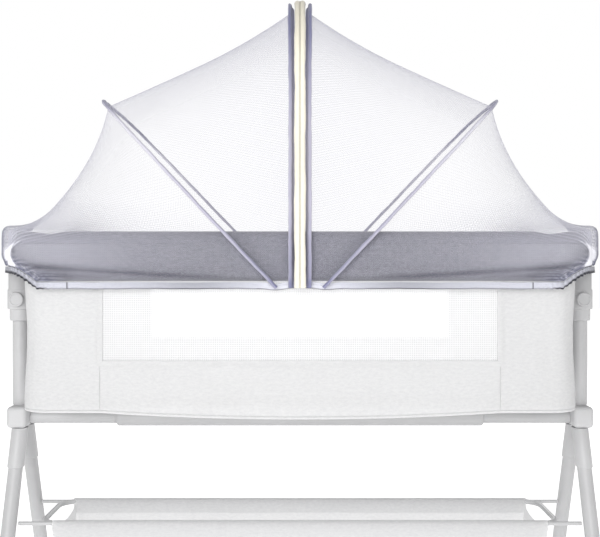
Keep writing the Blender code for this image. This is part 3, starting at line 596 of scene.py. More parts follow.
# tones of the net: painted shade by the crown, a painted white highlight round the rail's end on opaque
# cloth, painted shade in the folds above the hem, on a shoulder and along the outer edge, and the end panels
# painted paler
netTones = {"crownCrowd": 0.18, "crownDark": 0.18, "crownZ": (0.80, 1.05), "endPale": 0.15,
            "crowdX": (0.12, 0.46), "crowdZ": (0.83, 0.745), "layers": 4.2,
            "white": 0.62, "whiteEdge": 0.5285, "whiteRise": 0.010, "whiteRiseX": (0.44, 0.53),
            "cornerX": (0.456, 0.464), "bracketX": (0.520, 0.510), "streakHigh": 0.026,
            "foldX": (0.34, 0.41), "foldHigh": 0.018, "foldPitch": 0.0043, "foldCrowd": 3.4,
            "foldWaves": ((0.5, 0.060, 0.2), (0.3, 0.023, 0.6)),
            "shoulderZ": (0.79, 0.77), "shoulderX": (0.43, 0.49), "shoulder": (0.50, 0.6),
            "rim": (0.60, 2.4), "frontX": (0.34, 0.43)}
# a painted white highlight lies round the rail's end like a crescent: heights and distances out of its edges
whiteAbove = [(0.4275, 0.7381), (0.4435, 0.7357), (0.4550, 0.7315), (0.5220, 0.7330), (0.5270, 0.7280)]
paintedWhiteInner = [(0.6953, 0.4367), (0.6984, 0.4390), (0.7047, 0.4450), (0.7093, 0.4480), (0.7155, 0.4505),
             (0.7233, 0.4505), (0.7295, 0.4460), (0.7342, 0.4385), (0.7373, 0.4275)]


def upperTones(grid, look=netTones):
    # painted shade: darker high up towards the centre seam, where the cloth also lies more crowded
    share = 1 - np.linspace(0, 1, len(grid))[:, None]
    return {"dark": look["crownDark"] * share * smooth(grid[..., 2], *look["crownZ"]),
            "crowd": look["crownCrowd"] * share}


def tuckedIn(x, z):
    # below the bracket's arm the cloth tucks in to the elastic
    return ends["tuck"] * smooth(x, *ends["tuckX"]) * smooth(z, *ends["tuckZ"]) ** 1.5


def endTones(grid, look=netTones):
    # painted light and shade on the end panels: a white highlight round the rail's end, and shade in the
    # folds above the hem, on a shoulder above the white and along the outer edge seen from the front;
    # elsewhere a little paler
    x, z = np.abs(grid[..., 0]), grid[..., 2]
    run = runLength(grid, 1)[-1]
    aboveHem = z - hemTop - ends["hemLift"] * drawnUp(x, ends["hemLiftX"])
    waves = aboveHem / look["foldPitch"] + ripple(run, *look["foldWaves"])
    folds = 0.5 + 0.5 * np.sin(2 * math.pi * waves)
    heights, inner = np.array(paintedWhiteInner).T
    top = np.interp(x, *np.array(whiteAbove).T)
    reach = x + tuckedIn(x, z)
    foot = heights[0] + look["whiteRise"] * smooth(x, *look["whiteRiseX"])
    white = smooth(x - np.interp(z, heights, inner), -0.0015, 0.0015) * smooth(top - z, 0, 0.004)
    white = white * smooth(z - foot, 0, 0.005) * smooth(look["whiteEdge"] - reach, -0.002, 0.002)
    # between the rail's corner and the bracket the painted white highlight thins out upwards in streaks
    between = smooth(x, *look["cornerX"]) * smooth(x, *look["bracketX"])
    streaks = smooth(top - z, 0, look["streakHigh"]) * (0.45 + 0.40 * folds)
    white = white * (1 - between * (1 - streaks))
    folded = mound(aboveHem, 0, look["foldHigh"]) * smooth(x, *look["foldX"])
    shoulder = smooth(z - top, 0, 0.008) * smooth(z, *look["shoulderZ"]) * smooth(x, *look["shoulderX"])
    rim = smooth(reach - look["whiteEdge"], 0, 0.003) * smooth(grid[..., 1], 0.002, -0.002)
    # painted shade in the folds, on the shoulder and on the outline, made denser so that it shows
    dark = np.sqrt(folded) * (1.25 - 0.85 * folds ** 3)
    dark = dark + look["shoulder"][0] * shoulder + look["rim"][0] * rim
    onFront = smooth(top - z, 0, 0.006) * smooth(x, *look["frontX"])
    crowd = ramp(x, *look["crowdX"]) * ramp(z, *look["crowdZ"]) * (1 - 0.5 * onFront)
    crowd = np.maximum(crowd, look["foldCrowd"] * folded)
    crowd = crowd + look["shoulder"][1] * shoulder + look["rim"][1] * rim
    return {"dark": np.minimum(dark, 1) * (1 - white), "crowd": crowd * (1 - white) + look["layers"] * white,
            "pale": look["endPale"] * (1 - folded) * (1 - white) + look["white"] * white}


# how the panels are cut: gaps at the seams, where the lower panel starts, how tight each is pulled
panels = {"overHem": 0.0003, "zipGap": 0.0002, "seamGap": 0.0005, "lowerStart": 0.030, "pastFoot": 0.004,
          "aboveHem": 0.0012, "upperPull": 0.7, "endPull": 1.6, "ledgeShare": 0.62}


def makeNet():
    upright, slope = math.pi / 2, hoops["sideSlope"]
    hemStart = hemTop + panels["overHem"] - hoops["footZ"]
    inset = (hoops["centreSeamX"] + panels["zipGap"], 0, 0)

    def centreEdge(steps):
        line = hoopLine(0.0, upright, hoops["centreHeight"], hemStart, steps)
        return seamInside(line, upright, 0.0) - inset

    def sideUpper(steps):
        line = hoopLine(hoops["sideFootX"], slope, hoops["sideLength"], hemStart / math.sin(slope), steps)
        return seamInside(line, slope, panels["seamGap"])

    def halfway(steps):
        return (centreEdge(steps) + sideUpper(steps)) / 2

    upper = stretched(centreEdge, halfway, sideUpper, np.linspace(0, 1, 8), panels["upperPull"], 0.5)

    def sideLower(steps):
        line = hoopLine(hoops["sideFootX"], slope, hoops["sideLength"], panels["lowerStart"], steps)
        return seamInside(line, slope, -panels["seamGap"])

    def hemLine(steps):
        startX = sideLower(4)[0][0] - panels["pastFoot"]
        plan = [p for p in endOutline(ends["clearance"]) if p[0] < startX]
        plan = [(startX, -hoops["seamY"])] + plan + [(startX, hoops["seamY"])]
        points = [(x, y, hemHeight(x) + panels["aboveHem"]) for x, y in densePlan(plan)]
        return evenly(points, steps, 0.40, 3.0)

    def ledge(steps):
        return np.array([overLedge(a, b) for a, b in zip(sideLower(steps), hemLine(steps))])

    share = panels["ledgeShare"]
    down = np.concatenate([np.linspace(0, share, 6), np.linspace(share, 1, 11)[1:]])
    end = stretched(sideLower, ledge, hemLine, down, panels["endPull"], share)
    end[:-1, :, 0] += tuckedIn(-end[:-1, :, 0], end[:-1, :, 2])
    end = gathered(end)

    for side, sign in (("left", 1), ("right", -1)):
        for name, grid, node, tones in (("netUpper", upper, "net_upper", upperTones(upper)),
                                        ("netEnd", end, "net_end", endTones(end))):
            piece = gridPiece(f"{name}_{side}", grid * (sign, 1, 1), netCloth, panel=True)
            toneCloth(piece, grid.shape[:2], **tones)
            dress(piece, "net", f"{node}_{side}")


def sweepGrid(path, outward, across, section):
    # section: one list of (outward, across) points, or one list for each point of the path
    section = np.asarray(section, float)
    if section.ndim == 2:
        section = np.tile(section, (len(path), 1, 1))
    return path[:, None] + outward[:, None] * section[..., :1] + across[:, None] * section[..., 1:]


def levelSweep(plan, outs, z, section):
    # a section carried round a level plan; z is one height, or one for each point
    path = np.column_stack([plan, np.broadcast_to(z, len(plan))])
    outward = np.column_stack([outs, np.zeros(len(outs))])
    return sweepGrid(path, outward, np.tile((0, 0, 1), (len(path), 1)), section), outward


def pathRun(path):
    return np.concatenate([[0], np.cumsum(np.linalg.norm(np.diff(path, axis=0), axis=1))])


# pocket tape: two layers sewn together, then the channel round the wire; (outward, half width) in mm
pocket = {"shape": [(0, 1.0), (2.6, 1.1), (4.7, 0.9), (5.5, 0.55), (6.4, 1.2), (8.0, 2.2),
                    (10.0, 2.8), (11.7, 2.55), (13.0, 1.6), (13.6, 0.6)],
          "splay": math.radians(26), "crownLean": (0.45, 0.95, 1.13), "steps": 220,
          "centreCrown": [(0.18, 0.89, 0.98), (0.37, 0.96, 1.10), (0.50, 1.137, 1.148)],
          "sideCrown": [(0.32, 0.935, 0.965)], "foot": [(0.30, 0.80, 0.68), (0.20, 0.684, 0.672)],
          "zipSide": (0.20, -0.0004, 0.0010), "centrePale": 0.0, "sidePale": 0.25,
          "paleZ": (0.80, 0.92), "paleEndZ": (0.955, 0.925)}


def makePockets():
    kinds = (("centre", 0.0, math.pi / 2, hoops["centreHeight"], -pocket["splay"], -hoops["centreSeamX"]),
             ("side", hoops["sideFootX"], hoops["sideSlope"], hoops["sideLength"], 0.0, 0.0))
    half = np.array(pocket["shape"]) / 1000
    section = np.concatenate([half * (1, -1), half[::-1]])
    for kind, footX, slope, length, splay, aside in kinds:
        line = hoopLine(footX, slope, length, 0.0, pocket["steps"])
        outward, across = hoopFrame(line, slope)
        run = pathRun(line)
        # the pockets lean further apart over the crown
        leaning = splay * (1 + addedUp(line[:, 2:], [pocket["crownLean"]]))
        c, s = np.cos(leaning), np.sin(leaning)
        for side, sign in (("left", 1), ("right", -1)):
            shift = 0.0 if sign > 0 else 0.37
            swell = 1 + ripple(run, (0.06, 0.047, shift), (0.05, 0.0137, 2 * shift), (0.03, 0.0081, 0.2))
            sway = ripple(run, (0.0003, 0.091, shift), (0.0002, 0.033, 0.5))
            u = np.tile(section[:, 0], (len(line), 1))
            v = section[:, 1] * swell[:, None] + sway[:, None] * (u / half[-1, 0]) ** 2
            turned = np.stack([u * c - v * s, u * s + v * c + aside], axis=2)
            flip = (sign, 1, 1)
            grid = sweepGrid(line * flip, outward * flip, across * flip, turned)
            piece = gridPiece(f"hoopPocket_{kind}_{side}", grid, tapeCloth, around=True, caps=True)
            # painted shade over the crown, at the foot and on the side of the zip, and a painted highlight
            # along the side hoops below their tips
            z = grid[..., 2]
            dark = addedUp(z, pocket[f"{kind}Crown"] + pocket["foot"])
            dark = dark + addedUp(section[:, 1], [pocket["zipSide"]])
            pale = pocket[f"{kind}Pale"] * smooth(z, *pocket["paleZ"]) * smooth(z, *pocket["paleEndZ"])
            toneCloth(piece, z.shape, dark=np.minimum(dark, 1.0), pale=pale)
            dress(piece, "hoop_binding", f"binding_{kind}_{side}")


# zip: each tape rolls up over the seam and turns down beside the coil; (outward, across) in mm
zipShape = {"tape": [(10.4, 9.4), (12.0, 9.1), (13.6, 8.2), (14.9, 6.8), (15.5, 5.2), (15.5, 3.7),
                     (15.2, 2.3), (14.8, 1.2), (14.3, 0.8), (13.8, 0.9), (14.0, 2.3), (14.3, 3.9),
                     (14.2, 5.2), (13.6, 6.4), (12.5, 7.8), (11.2, 8.6), (10.2, 8.9)],
            "coil": [(12.4, -1.7), (13.3, -1.7), (13.5, -0.6), (14.3, -0.6), (14.6, -0.3), (14.4, 0.0),
                     (14.6, 0.3), (14.3, 0.6), (13.5, 0.6), (13.3, 1.7), (12.4, 1.7)],
            "tooth": 0.0016, "inner": 0.0008, "width": 0.0086,
            "crown": [(0.20, 1.00, 1.09), (0.12, 1.135, 1.165)]}


def zipShadow(z):
    # a little darker over the crown, where the layers turn away from the light
    return addedUp(z, zipShape["crown"])


def makeZip():
    line = hoopLine(0.0, math.pi / 2, hoops["centreHeight"], 0.0, 300)
    outward, across = hoopFrame(line, math.pi / 2)
    run = pathRun(line)
    tape = np.array(zipShape["tape"]) / 1000
    for side, sign in (("left", -1), ("right", 1)):
        start = 0.15 if sign > 0 else 0.40
        pull = -0.06 + ripple(run, (0.055, 0.131, start), (0.03, 0.053, start * 2), (0.012, 0.019, 0.3))
        lift = ripple(run, (0.00035, 0.083, start), (0.0002, 0.027, 0.1))
        outer = (tape[:, 1] - zipShape["inner"]) / zipShape["width"]
        u = tape[:, 0] + lift[:, None] * outer
        v = zipShape["inner"] + (tape[:, 1] - zipShape["inner"]) * (1 + pull[:, None] * outer)
        grid = sweepGrid(line, outward, across * sign, np.stack([u, v], axis=2))
        piece = gridPiece(f"zipTape_{side}", grid, zipTapeCloth, around=True, caps=True)
        toneCloth(piece, grid.shape[:2], dark=zipShadow(grid[..., 2]))
        dress(piece, "zip", f"zip_tape_{side}")
    fine = hoopLine(0.0, math.pi / 2, hoops["centreHeight"], 0.0, 3000)
    outward, across = hoopFrame(fine, math.pi / 2)
    turn = pathRun(fine) / zipShape["tooth"] * 2 * math.pi
    coil = np.array(zipShape["coil"]) / 1000
    # teeth of the two sides alternate
    tooth = np.where(coil[:, 1] < 0, np.sin(turn)[:, None], -np.sin(turn)[:, None])
    top = (coil[:, 0] > 0.0142) * (coil[:, 1] != 0)
    u = coil[:, 0] + 0.0003 * tooth * top
    v = np.tile(coil[:, 1], (len(fine), 1))
    grid = sweepGrid(fine, outward, across, np.stack([u, v], axis=2))
    piece = gridPiece("zipCoil", grid, coilNylon, around=True, caps=True)
    toneCloth(piece, grid.shape[:2], dark=0.1 + 1.6 * zipShadow(grid[..., 2]))
    dress(piece, "zip", "zip_coil")


# hem: a doubled tape with a rolled edge; (outward, height below the top) in mm
hem = {"shape": [(-0.8, 0.0), (0.6, 0.0), (1.0, -0.7), (0.9, -1.6), (0.45, -2.1), (0.75, -2.7),
                 (0.8, -5.0), (0.75, -7.6), (0.4, -8.1), (0.8, -8.7), (1.0, -9.5), (0.6, -10.3),
                 (-0.4, -10.3), (-0.8, -9.4), (-0.8, -5.0)],
       "seamX": 0.359, "gather": 0.0007, "gatherLength": 0.0085, "footX": 0.003, "footDip": 0.0018,
       "zipRise": 0.0012, "edgeZ": (0.0086, 0.0096), "edge": 0.52, "edgeAtZip": (0.30, 0.065),
       "paleX": (0.07, 0.05), "seam": 0.8, "gathers": (0.28, 0.13), "gatherEdgeZ": (0.0082, 0.0092)}


def makeHem():
    section = np.array(hem["shape"]) / 1000
    for name, sign in (("front", -1), ("back", 1)):
        x = np.linspace(-hem["seamX"], hem["seamX"], 240)
        foot = hoops["sideFootX"] + hem["footX"]
        drop = hem["zipRise"] * mound(x, 0, 0.016) - hem["footDip"] * mound(abs(x), foot, 0.013)
        drop += ripple(x, (0.0003, 0.13, 0.1), (0.00015, 0.041, 0.6))
        out = sign * (hoops["seamY"] + ripple(x, (0.0002, 0.057, 0.0), (0.00015, 0.023, 0.4)))
        path = stacked(x, out, hemTop + drop)
        outward, up = np.tile((0, sign, 0), (len(x), 1)), np.tile((0, 0, 1), (len(x), 1))
        grid = sweepGrid(path, outward, up, section)
        piece = gridPiece(f"hemTape_{name}", grid, hemCloth, around=True, caps=True)
        # painted shade: a broad darker band midway out and more towards the ends, and a dark lower edge,
        # darker still near the zip; dark marks at the seams at the tape's ends; painted highlight near the
        # middle
        far = np.abs(x)[:, None]
        shadow = 0.44 * mound(far, 0.165, 0.090) + 0.14 * smooth(far, 0.20, 0.30)
        more, reach = hem["edgeAtZip"]
        edge = (hem["edge"] + more * (far < reach)) * smooth(-section[:, 1], *hem["edgeZ"])
        seam = hem["seam"] * smooth(far, hem["seamX"] - 0.0022, hem["seamX"] - 0.0012)
        toneCloth(piece, grid.shape[:2], dark=np.minimum(shadow + edge + seam, 1.0),
                  pale=0.15 * smooth(far, *hem["paleX"]))
        dress(piece, "hem_tape", f"hem_tape_{name}")
    start = -hem["seamX"] - 0.0003
    plan = [p for p in endOutline(ends["clearance"]) if p[0] < start]
    plan = [(start, -hoops["seamY"])] + plan + [(start, hoops["seamY"])]
    line = evenly([(x, y, hemHeight(x)) for x, y in densePlan(plan, 0.001)], 520, 0.03)
    along = np.gradient(line * (1, 1, 0), axis=0)
    along /= np.linalg.norm(along, axis=1)[:, None]
    outward = np.stack([-along[:, 1], along[:, 0], along[:, 2]], axis=1)
    if outward[len(line) // 2][0] > 0:
        outward = -outward
    outward[0], outward[-1] = (0, -1, 0), (0, 1, 0)
    run = pathRun(line)
    ease = np.clip(np.minimum(run, run[-1] - run) / 0.03, 0, 1)
    wave = ripple(run, (1.0, hem["gatherLength"], 0.0), (0.5, hem["gatherLength"] * 1.7, 0.3))
    v = np.tile(section[:, 1], (len(line), 1))
    u = section[:, 0] + hem["gather"] * (ease * wave)[:, None] * (0.4 + v / -0.0104)
    v = v * (1 + 0.05 * (ease * wave)[:, None])
    up = np.tile((0, 0, 1), (len(line), 1))
    for side, sign in (("left", 1), ("right", -1)):
        flip = (sign, 1, 1)
        grid = sweepGrid(line * flip, outward * flip, up, np.stack([u, v], axis=2))
        piece = gridPiece(f"hemElastic_{side}", grid, hemCloth, around=True, caps=True)
        # painted shade: the elastic a little darker throughout and its lower edge darker; drawn up round the
        # corner, the gathers are painted in shadow and the lower edge nearly black
        corner = drawnUp(line[:, 0], ends["hemLiftX"] - 0.02)[:, None]
        level, swing = hem["gathers"]
        edge = smooth(-section[:, 1] + 0.0014 * corner, *hem["gatherEdgeZ"])
        dark = 0.12 + corner * (level + swing * (ease * wave)[:, None]) + (0.4 + corner) * edge
        toneCloth(piece, grid.shape[:2], dark=np.clip(dark, 0, 1))
        dress(piece, "hem_tape", f"hem_elastic_{side}")


makeNet()
print("net panels made")
makePockets()
makeZip()
makeHem()
print("hoop pockets, zip and hem made")


def roundedRectangle(halfX, halfY, corner, step):
    # plan points and outward directions round a closed outline, front side first
    points, outwards = [], []
    cx, cy = halfX - corner, halfY - corner
    corners = ((cx, -cy, 270), (cx, cy, 0), (-cx, cy, 90), (-cx, -cy, 180))
    straights = (2 * cy, 2 * cx, 2 * cy, 2 * cx)
    turns = max(6, round(corner * math.pi / 2 / step))
    for (px, py, first), straight in zip(corners, straights):
        for k in range(turns + 1):
            a = math.radians(first + 90 * k / turns)
            points.append((px + corner * math.cos(a), py + corner * math.sin(a)))
            outwards.append((math.cos(a), math.sin(a)))
        a = math.radians(first + 90)
        count = max(1, round(straight / step))
        end = points[-1]
        for k in range(1, count):
            t = straight * k / count
            points.append((end[0] - math.sin(a) * t, end[1] + math.cos(a) * t))
            outwards.append((math.cos(a), math.sin(a)))
    return np.array(points), np.array(outwards)


# padded rail: foam round a tube in a knit sleeve, with a seam under the top edge
padding = {"depth": 0.040, "rounding": 0.017, "corner": 0.060, "seamDown": 0.0155, "seamRise": 0.0010,
           "crown": 0.0009, "dipX": 0.391, "dip": 0.0038, "foldX": (0.11, 0.22), "fold": 0.0036,
           "secondX": (0.27, 0.35), "second": 0.0016, "paleX": (0.24, 0.42),
           "creases": [(-0.445, 0.7000), (-0.431, 0.6985), (-0.370, 0.6946), (-0.308, 0.6908),
                       (-0.231, 0.6861), (-0.155, 0.6829)]}


def railSection():
    depth, height, r = padding["depth"], railTop - railBottom, padding["rounding"]
    seam = height / 2 - padding["seamDown"]
    outerZ = list(np.linspace(-height / 2 + r, seam - 0.004, 17))
    outerZ += [seam + d / 1000 for d in (-2.6, -1.6, -1.0, -0.5, 0.0, 0.5, 1.0, 1.6, 2.6)]
    outerZ = [z for z in outerZ if z < height / 2 - r - 0.0005]
    a, b = depth / 2 - r, height / 2 - r
    points = [(depth / 2, z) for z in outerZ]
    points += planArc(a, b, r, 0, 90, 8) + planArc(-a, b, r, 90, 180, 8)
    points += [(-depth / 2, z) for z in np.linspace(b, -b, 14)[1:-1]]
    points += planArc(-a, -b, r, 180, 270, 8) + planArc(a, -b, r, 270, 360, 8)[:-1]
    return np.array(points)


def makeRail():
    inset = padding["depth"] / 2
    plan, outs = roundedRectangle(railHalfX - inset, railHalfY - inset, padding["corner"] - inset, 0.005)
    section = railSection()
    middleZ = (railTop + railBottom) / 2
    height = railTop - railBottom
    seamZ = railTop - padding["seamDown"]
    grid, outward = levelSweep(plan, outs, middleZ, section)
    face = np.tile(section[:, 0] > 0, (len(plan), 1))
    share = ramp(grid[..., 2], railTop - padding["rounding"], railBottom)
    grid[..., 2] += ends["railLift"] * share * drawnUp(grid[..., 0], ends["railLiftX"])
    far, z = np.abs(grid[..., 0]), grid[..., 2]
    run = pathRun(plan)[:, None]
    crown = padding["crown"] * np.cos(np.clip((z - middleZ) / (height / 2), -1, 1) * math.pi / 2)
    lumps = ripple(run, (0.0004, 0.17, 0.1), (0.0003, 0.083, 0.4)) * np.cos((z - middleZ) * 30 + run * 9)
    seam = mound(z, seamZ, 0.0009) - 0.9 * mound(np.abs(z - seamZ), 0.0024, 0.0011)
    # one long crease rises towards each end, a second one lies below it
    creaseZ = np.interp(-far, *np.array(padding["creases"]).T)
    secondZ = creaseZ - 0.0085 - 0.004 * ramp(far, 0.30, 0.43)
    along, alongSecond = ramp(far, *padding["foldX"]) ** 0.7, ramp(far, *padding["secondX"])
    fold = 0.0008 * mound(z, creaseZ + 0.0052, 0.003) - padding["fold"] * mound(z, creaseZ, 0.0021)
    second = padding["second"] * mound(z, secondZ, 0.0016) * alongSecond
    move = (crown + lumps + padding["seamRise"] * seam + fold * along - second) * face
    # painted shade in the folds and along the lower edge; painted highlights on the seam and on the front
    # towards each end
    dark = 0.90 * along * mound(z, creaseZ, 0.0034) + 0.65 * alongSecond * mound(z, secondZ, 0.0028)
    dark += 0.22 * smooth(z, railBottom + 0.035, railBottom + 0.012) * (0.3 + 0.7 * along)
    dark += 0.30 * smooth(z, railBottom + 0.010, railBottom + 0.002) * (far < 0.41)
    pale = 0.35 * mound(z, seamZ, 0.0012)
    pale += 0.26 * smooth(z - creaseZ, 0.004, 0.012) * smooth(seamZ - z, 0.002, 0.006)
    tones = {"dark": np.minimum(dark, 1.0) * face, "pale": pale * smooth(far, *padding["paleX"]) * face}
    grid = grid + outward[:, None] * move[..., None]
    near = mound(np.abs(grid[..., 0]), padding["dipX"], 0.020) * (grid[..., 2] > middleZ)
    grid[..., 2] -= padding["dip"] * near * ramp(grid[..., 2], seamZ, railTop)
    piece = toneCloth(gridPiece("paddedRail", grid, railCloth, around=True, loop=True), far.shape, **tones)
    dress(piece, "rail_padding", "rail_front", "rail_back", "rail_left", "rail_right")


# cradle body: linen look cloth hung from the rail, with a mesh window front and back
body = {"cloth": 0.0022, "corner": 0.050, "sag": 0.010, "waist": 0.0055, "windowHalfX": 0.311,
        "windowBottom": 0.547, "pipe": 0.0026, "trim": 0.008, "seamTopX": 0.4105, "seamFootX": 0.422,
        "edgeGap": 0.0003}


def sagAt(x):
    return body["sag"] * np.clip(1 - (np.abs(x) / body["windowHalfX"]) ** 2, 0, 1)


def makeBody():
    top = railBottom - body["edgeGap"]
    inner = body["cloth"] / 2
    halfX, halfY = bodyHalfX - inner, bodyHalfY - inner
    plan, outs = roundedRectangle(halfX, halfY, body["corner"] - inner, 0.006)
    leftSide = plan[:, 0] < -body["windowHalfX"]
    plan, outs = plan[leftSide], outs[leftSide]
    edge = (-body["windowHalfX"], halfY)
    plan = np.vstack([[edge], plan, [(edge[0], -edge[1])]])
    outs = np.vstack([[(0, 1)], outs, [(0, -1)]])
    levels = np.linspace(0, 1, 34)
    drop = top - bodyBottom
    shell = [(inner, t * drop) for t in levels] + [(-inner, t * drop) for t in levels[::-1]]
    grid, outward = levelSweep(plan, outs, bodyBottom, shell)
    t = (grid[..., 2] - bodyBottom) / drop
    grid[..., 2] += ends["railLift"] * t * drawnUp(grid[..., 0], ends["hemLiftX"])
    run = pathRun(plan)[:, None]
    ease = ramp(-plan[:, 0:1], body["windowHalfX"], body["windowHalfX"] + 0.06)
    waist = -body["waist"] * np.sin(math.pi * t) ** 2 * ease
    slack = ripple(run, (0.0009, 0.093, 0.2), (0.0006, 0.041, 0.7)) * np.sin(math.pi * t) * ease
    # corner seam leans outward as it goes down
    seamX = body["seamTopX"] + (body["seamFootX"] - body["seamTopX"]) * (1 - t)
    seam = 0.0011 * mound(np.abs(grid[..., 0]), seamX, 0.0016) * ease
    grid = grid + outward[:, None] * (waist + slack + seam)[..., None]
    for side, sign in (("left", 1), ("right", -1)):
        piece = gridPiece(f"bodyEnd_{side}", grid * (sign, 1, 1), bodyCloth, around=True, caps=True)
        dress(piece, "cradle_cloth", f"body_end_{side}")
    halfWindow = body["windowHalfX"] - body["edgeGap"]
    x = np.linspace(-halfWindow, halfWindow, 110)
    bandTop = body["windowBottom"] - body["edgeGap"]
    up = np.linspace(0, 1, 14)
    for name, sign in (("front", -1), ("back", 1)):
        low = bodyBottom - sagAt(x)
        rows = low[:, None] + (bandTop - low)[:, None] * up
        wave = ripple(x, (0.0007, 0.21, 0.3), (0.0004, 0.087, 0.1))[:, None] * np.sin(math.pi * up)
        outer = stacked(x[:, None], sign * (halfY + inner + wave), rows)
        back = stacked(x[:, None], sign * (halfY - inner + wave), rows)[:, ::-1]
        piece = gridPiece(f"bodyBand_{name}", np.concatenate([outer, back], axis=1), bodyCloth,
                          around=True, caps=True)
        dress(piece, "cradle_cloth", f"body_{name}_band")
        across = np.linspace(0, 1, 24)
        tall = body["windowBottom"] + (top - body["windowBottom"]) * across
        belly = 0.0012 * np.sin(math.pi * across) * np.cos(x[:, None] * 5)
        grid = stacked(x[:, None], sign * (halfY - belly), tall)
        piece = gridPiece(f"windowMesh_{name}", grid, windowCloth)
        dress(piece, "window_mesh", f"window_{name}")
        trim = windowTrim(x[-1], sign * (halfY + inner), sign, top)
        dress(meshPiece(f"windowTrim_{name}", *trim), "cradle_cloth")
    makePiping(halfX + inner, halfY + inner)


def windowTrim(halfX, y, sign, top):
    # a narrow folded tape down both sides of the window and along its bottom
    w, t = body["trim"], 0.0009
    low = body["windowBottom"]
    inner, outer = ([(-halfX + d, top), (-halfX + d, low + d), (halfX - d, low + d), (halfX - d, top)]
                    for d in (w / 2, -w / 2))
    points, faces, uvs = [], [], []
    for k in range(len(inner)):
        for (px, pz), proud in ((outer[k], 0.0001), (outer[k], t), (inner[k], t), (inner[k], 0.0001)):
            points.append((px, y + sign * proud, pz))
    for k in range(len(inner) - 1):
        for c in range(4):
            d = (c + 1) % 4
            quad = (4 * k + c, 4 * k + d, 4 * k + 4 + d, 4 * k + 4 + c)
            faces.append(quad)
            uvs += [(points[q][0], points[q][2]) for q in quad]
    faces += [(3, 2, 1, 0), (12, 13, 14, 15)]
    uvs += [(points[q][0], points[q][2]) for q in (3, 2, 1, 0, 12, 13, 14, 15)]
    return points, faces, bodyCloth, uvs


def makePiping(halfX, halfY):
    plan, outs = roundedRectangle(halfX, halfY, body["corner"], 0.006)
    r = body["pipe"]
    z = bodyBottom - r - sagAt(plan[:, 0]) * (np.abs(plan[:, 1]) > halfY - 0.004)
    grid, _ = levelSweep(plan - outs * r, outs, z, planArc(0, 0, r, 0, 360, 12)[:-1])
    dress(gridPiece("bodyPiping", grid, bodyCloth, around=True, loop=True), "cradle_cloth")


makeRail()
makeBody()
print("rail and cradle body made")


def turnedPiece(name, start, end, profile, material, sides=40, flatEnds=False):
    # profile rows: share of the length, radius
    start, end = np.array(start, float), np.array(end, float)
    axis = (end - start) / np.linalg.norm(end - start)
    side = np.cross(axis, (0, 1, 0) if abs(axis[1]) < 0.9 else (1, 0, 0))
    side /= np.linalg.norm(side)
    third = np.cross(axis, side)
    angles = 2 * math.pi * np.arange(sides) / sides
    spokes = np.cos(angles)[:, None] * side + np.sin(angles)[:, None] * third
    grid = np.array([start + (end - start) * share + spokes * radius for share, radius in profile])
    if flatEnds:
        centre = np.array([(start + (end - start) * share)[2] for share, _ in profile])
        grid = grid + axis * ((centre[:, None] - grid[..., 2]) / axis[2])[..., None]
    return gridPiece(name, grid, material, around=True, caps=True, sharp=35)


def blockPiece(name, low, high, material, bevel, segments=4):
    (x0, y0, z0), (x1, y1, z1) = low, high
    points = [(x, y, z) for z in (z0, z1) for x, y in ((x0, y0), (x1, y0), (x1, y1), (x0, y1))]
    faces = [(0, 3, 2, 1), (4, 5, 6, 7), (0, 1, 5, 4), (1, 2, 6, 5), (2, 3, 7, 6), (3, 0, 4, 7)]
    piece = meshPiece(name, points, faces, material)
    work = bmesh.new()
    work.from_mesh(piece.data)
    bmesh.ops.bevel(work, geom=list(work.edges), offset=bevel, segments=segments, affect="EDGES",
                    profile=0.5)
    work.to_mesh(piece.data)
    work.free()
    piece.data.shade_smooth()
    piece.data.set_sharp_from_angle(angle=math.radians(40))
    return piece


def mergedPiece(name, parts):
    joined = bmesh.new()
    for part in parts:
        joined.from_mesh(part.data)
    mesh = bpy.data.meshes.new(name)
    joined.to_mesh(mesh)
    joined.free()
    mesh.materials.append(parts[0].data.materials[0])
    for part in parts:
        bpy.data.objects.remove(part)
    mesh.shade_smooth()
    mesh.set_sharp_from_angle(angle=math.radians(38))
    return placeObject(name, mesh)


# stand: a moulded bracket under each end of the rail, a post, a hub and two splayed legs
stand = {"socket": [(0.0, 16.2), (0.006, 17.2), (0.02, 17.5), (0.125, 17.5), (0.130, 18.2), (0.137, 21.2),
                    (0.145, 21.5), (0.345, 21.5), (0.358, 21.0), (0.368, 20.0), (0.90, 20.0),
                    (0.925, 19.0), (0.950, 17.0), (0.972, 13.5), (0.988, 9.5), (1.0, 3.0)],
         "button": [(0, 13.5), (0.55, 13.5), (0.85, 12.9), (1.0, 11.4), (0.96, 10.2), (0.80, 9.4),
                    (0.74, 4.0)],
         "sleeve": 14.5, "tube": 12.5,
         "foot": [(0, 17.5), (0.03, 18.8), (0.12, 20.0), (0.45, 20.0), (0.50, 19.4), (0.55, 20.0),
                  (0.86, 20.0), (0.96, 18.8), (1.0, 17.0)],
         "legY": 0.0185, "sleeveShare": 0.17, "armHalfY": 0.016, "armLow": 0.690, "thin": 0.011,
         "thick": 0.0155}


